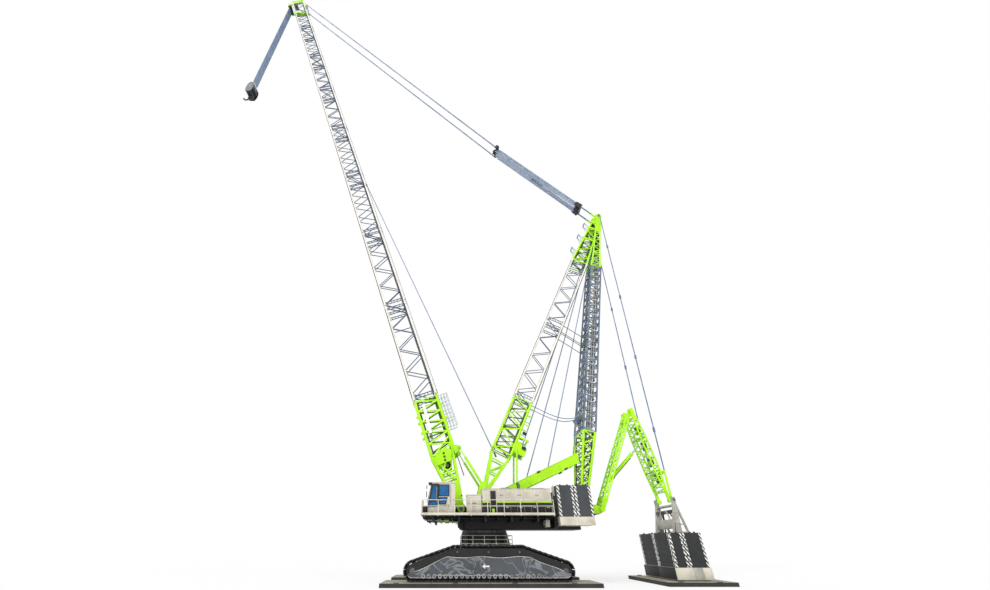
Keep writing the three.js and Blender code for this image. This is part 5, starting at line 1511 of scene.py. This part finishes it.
# Hanging ballast: near-black slabs stacked on a tray with beige side plates, and with white
# striped corners. Pale steel arms rise from the tray through the stack to the hanger's pins.
ballast_dark = coating("ballast_dark", "1B1D20", "121416", 0.62, patch=6.0, relief=0.3)
paint_nodes(ballast_dark, "ballast_slabs")
bracket_grey = coating("bracket_grey", "B4B1A8", "8B8982", 0.5, patch=8.0)
paint_nodes(bracket_grey, "ballast_hanger")
HUNG_SLAB_RISE = 0.0441
HUNG_SLAB_Z = (0.13, 0.169)
marks = [block(x, y, HUNG_SLAB_Z, stripes) for x in ((1.6635, 1.6655), (1.9595, 1.9615))
         for y in ((-0.3365, -0.3035), (-0.03, -0.0005))]
marks += [block(x, (-0.3366, -0.3345), HUNG_SLAB_Z, stripes)
          for x in ((1.6637, 1.6837), (1.764, 1.784), (1.79, 1.81), (1.9413, 1.9613))]
fit_pair([repeat(joined(marks), 6, (0, 0, HUNG_SLAB_RISE))], "hanging_ballast_stripes",
         "superlift_ballast", "slate_paint")
TRAY_Z = (0.04, 0.127)
sides = [block(x, (-0.3365, -0.335), TRAY_Z, finish, 0.001)
         for x, finish in (((1.651, 1.808), guard_beige), ((1.811, 1.892), bracket_grey),
                           ((1.895, 1.9745), guard_beige))]
sides.append(block((1.6485, 1.6505), (-0.336, 0.0), TRAY_Z, ballast_dark, 0.001))
fit_pair(sides, "tray_side_plates", "superlift_ballast", "slate_paint")
fittings = []
for x in (1.7, 1.76, 1.89, 1.93):
    for y in (-0.29, -0.09):
        fittings.append(upright(x, y, (0.3925, 0.403), 0.008, ballast_dark, 12))
fittings += [block((1.77, 1.94), (-0.2035, -0.1745), (0.3925, 0.406), bracket_grey, 0.002),
             block((1.812, 1.824), (-0.179, 0.0), (0.43, 0.51), bracket_grey, 0.002),
             tube((1.818, -0.176, 0.4), (1.83, -0.06, 0.59), 0.0085, bracket_grey, 10),
             tube((1.88, -0.176, 0.4), (1.852, -0.06, 0.59), 0.0065, hook_black, 10),
             block((1.826, 1.858), (-0.179, 0.0), (0.56, 0.59), hook_black, 0.004)]
for foot, tip in ((1.93, 1.872), (1.792, 1.856)):
    for y in (-0.201, -0.177):
        fittings.append(tube((foot, y, 0.4), (tip, y, 0.65), 0.0065, bracket_grey, 10))
fittings.append(tube((1.915, -0.201, 0.46), (1.81, -0.201, 0.48), 0.0045, bracket_grey))
for z in (0.47, 0.56):
    fittings.append(block((1.822 + (z - 0.47) * 0.06, 1.866 + (z - 0.47) * 0.06),
                          (-0.2035, -0.1995), (z, z + 0.02), bracket_grey, 0.002))
fittings += [across(1.865, (-0.205, -0.174), 0.676, 0.02, bracket_grey, 24),
             across(1.865, (-0.209, -0.204), 0.676, 0.012, pin_steel, 20)]
fit_pair(fittings, "hanger_fittings", "superlift_ballast", "slate_paint")

# Running ropes: wire ropes from the mast head down to the winches and the machine deck, and
# one from a socket on the mast base up to the guide sheave on the boom's rear face.
def on_line(foot, inclination, x, z):
    """The (x, z) place of a point of a leaning member's own frame."""
    turn = math.radians(90 - inclination)
    return (foot[0] + x * math.cos(turn) + z * math.sin(turn),
            foot[1] - x * math.sin(turn) + z * math.cos(turn))


ropes = []
peak = on_line(MAST_FOOT, mast_lean, 0.02, mast_length - 0.07)
for (x, z), y in (((0.44, 1.2), -0.06), ((0.43, 0.79), 0.04), ((0.68, 0.96), -0.084),
                  ((1.0, 1.08), 0.06)):
    ropes.append(tube((x, y, z), (peak[0], y * 0.6, peak[1]), 0.006, rope_grey, 6))
fit(ropes, "mast_ropes", "superstructure", "rope_steel")
rope_top = on_line(BOOM_FOOT, BOOM_LEAN, 0.16, 5.0)
rope_foot = on_line(MAST_FOOT, mast_lean, -0.03, 0.37)
rope_top = Vector((rope_top[0], 0, rope_top[1]))
rope_foot = Vector((rope_foot[0], 0, rope_foot[1]))
along = (rope_top - rope_foot).normalized()
guide_rope = joined([tube(rope_top, rope_foot, 0.0062, rope_grey),
                     tube(rope_foot, rope_foot + 0.05 * along, 0.0095, pin_steel, 12),
                     tube(rope_top, rope_top - 0.05 * along, 0.0095, pin_steel, 12)])
guide_rope.name = guide_rope.data.name = "boom_guide_rope"
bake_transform(guide_rope)
guide = [block((0.142, 0.166), (-0.012, -0.006), (4.98, 5.02), lacing_blue, 0.002),
         block((0.142, 0.166), (0.006, 0.012), (4.98, 5.02), lacing_blue, 0.002),
         block((0.13, 0.144), (-0.13, 0.13), (4.99, 5.01), lacing_blue, 0.002),
         across(0.16, (-0.006, 0.006), 5.004, 0.008, sheave_dark, 16)]
erect(guide, BOOM, "boom_guide_sheave", "boom", "lacing_paint")
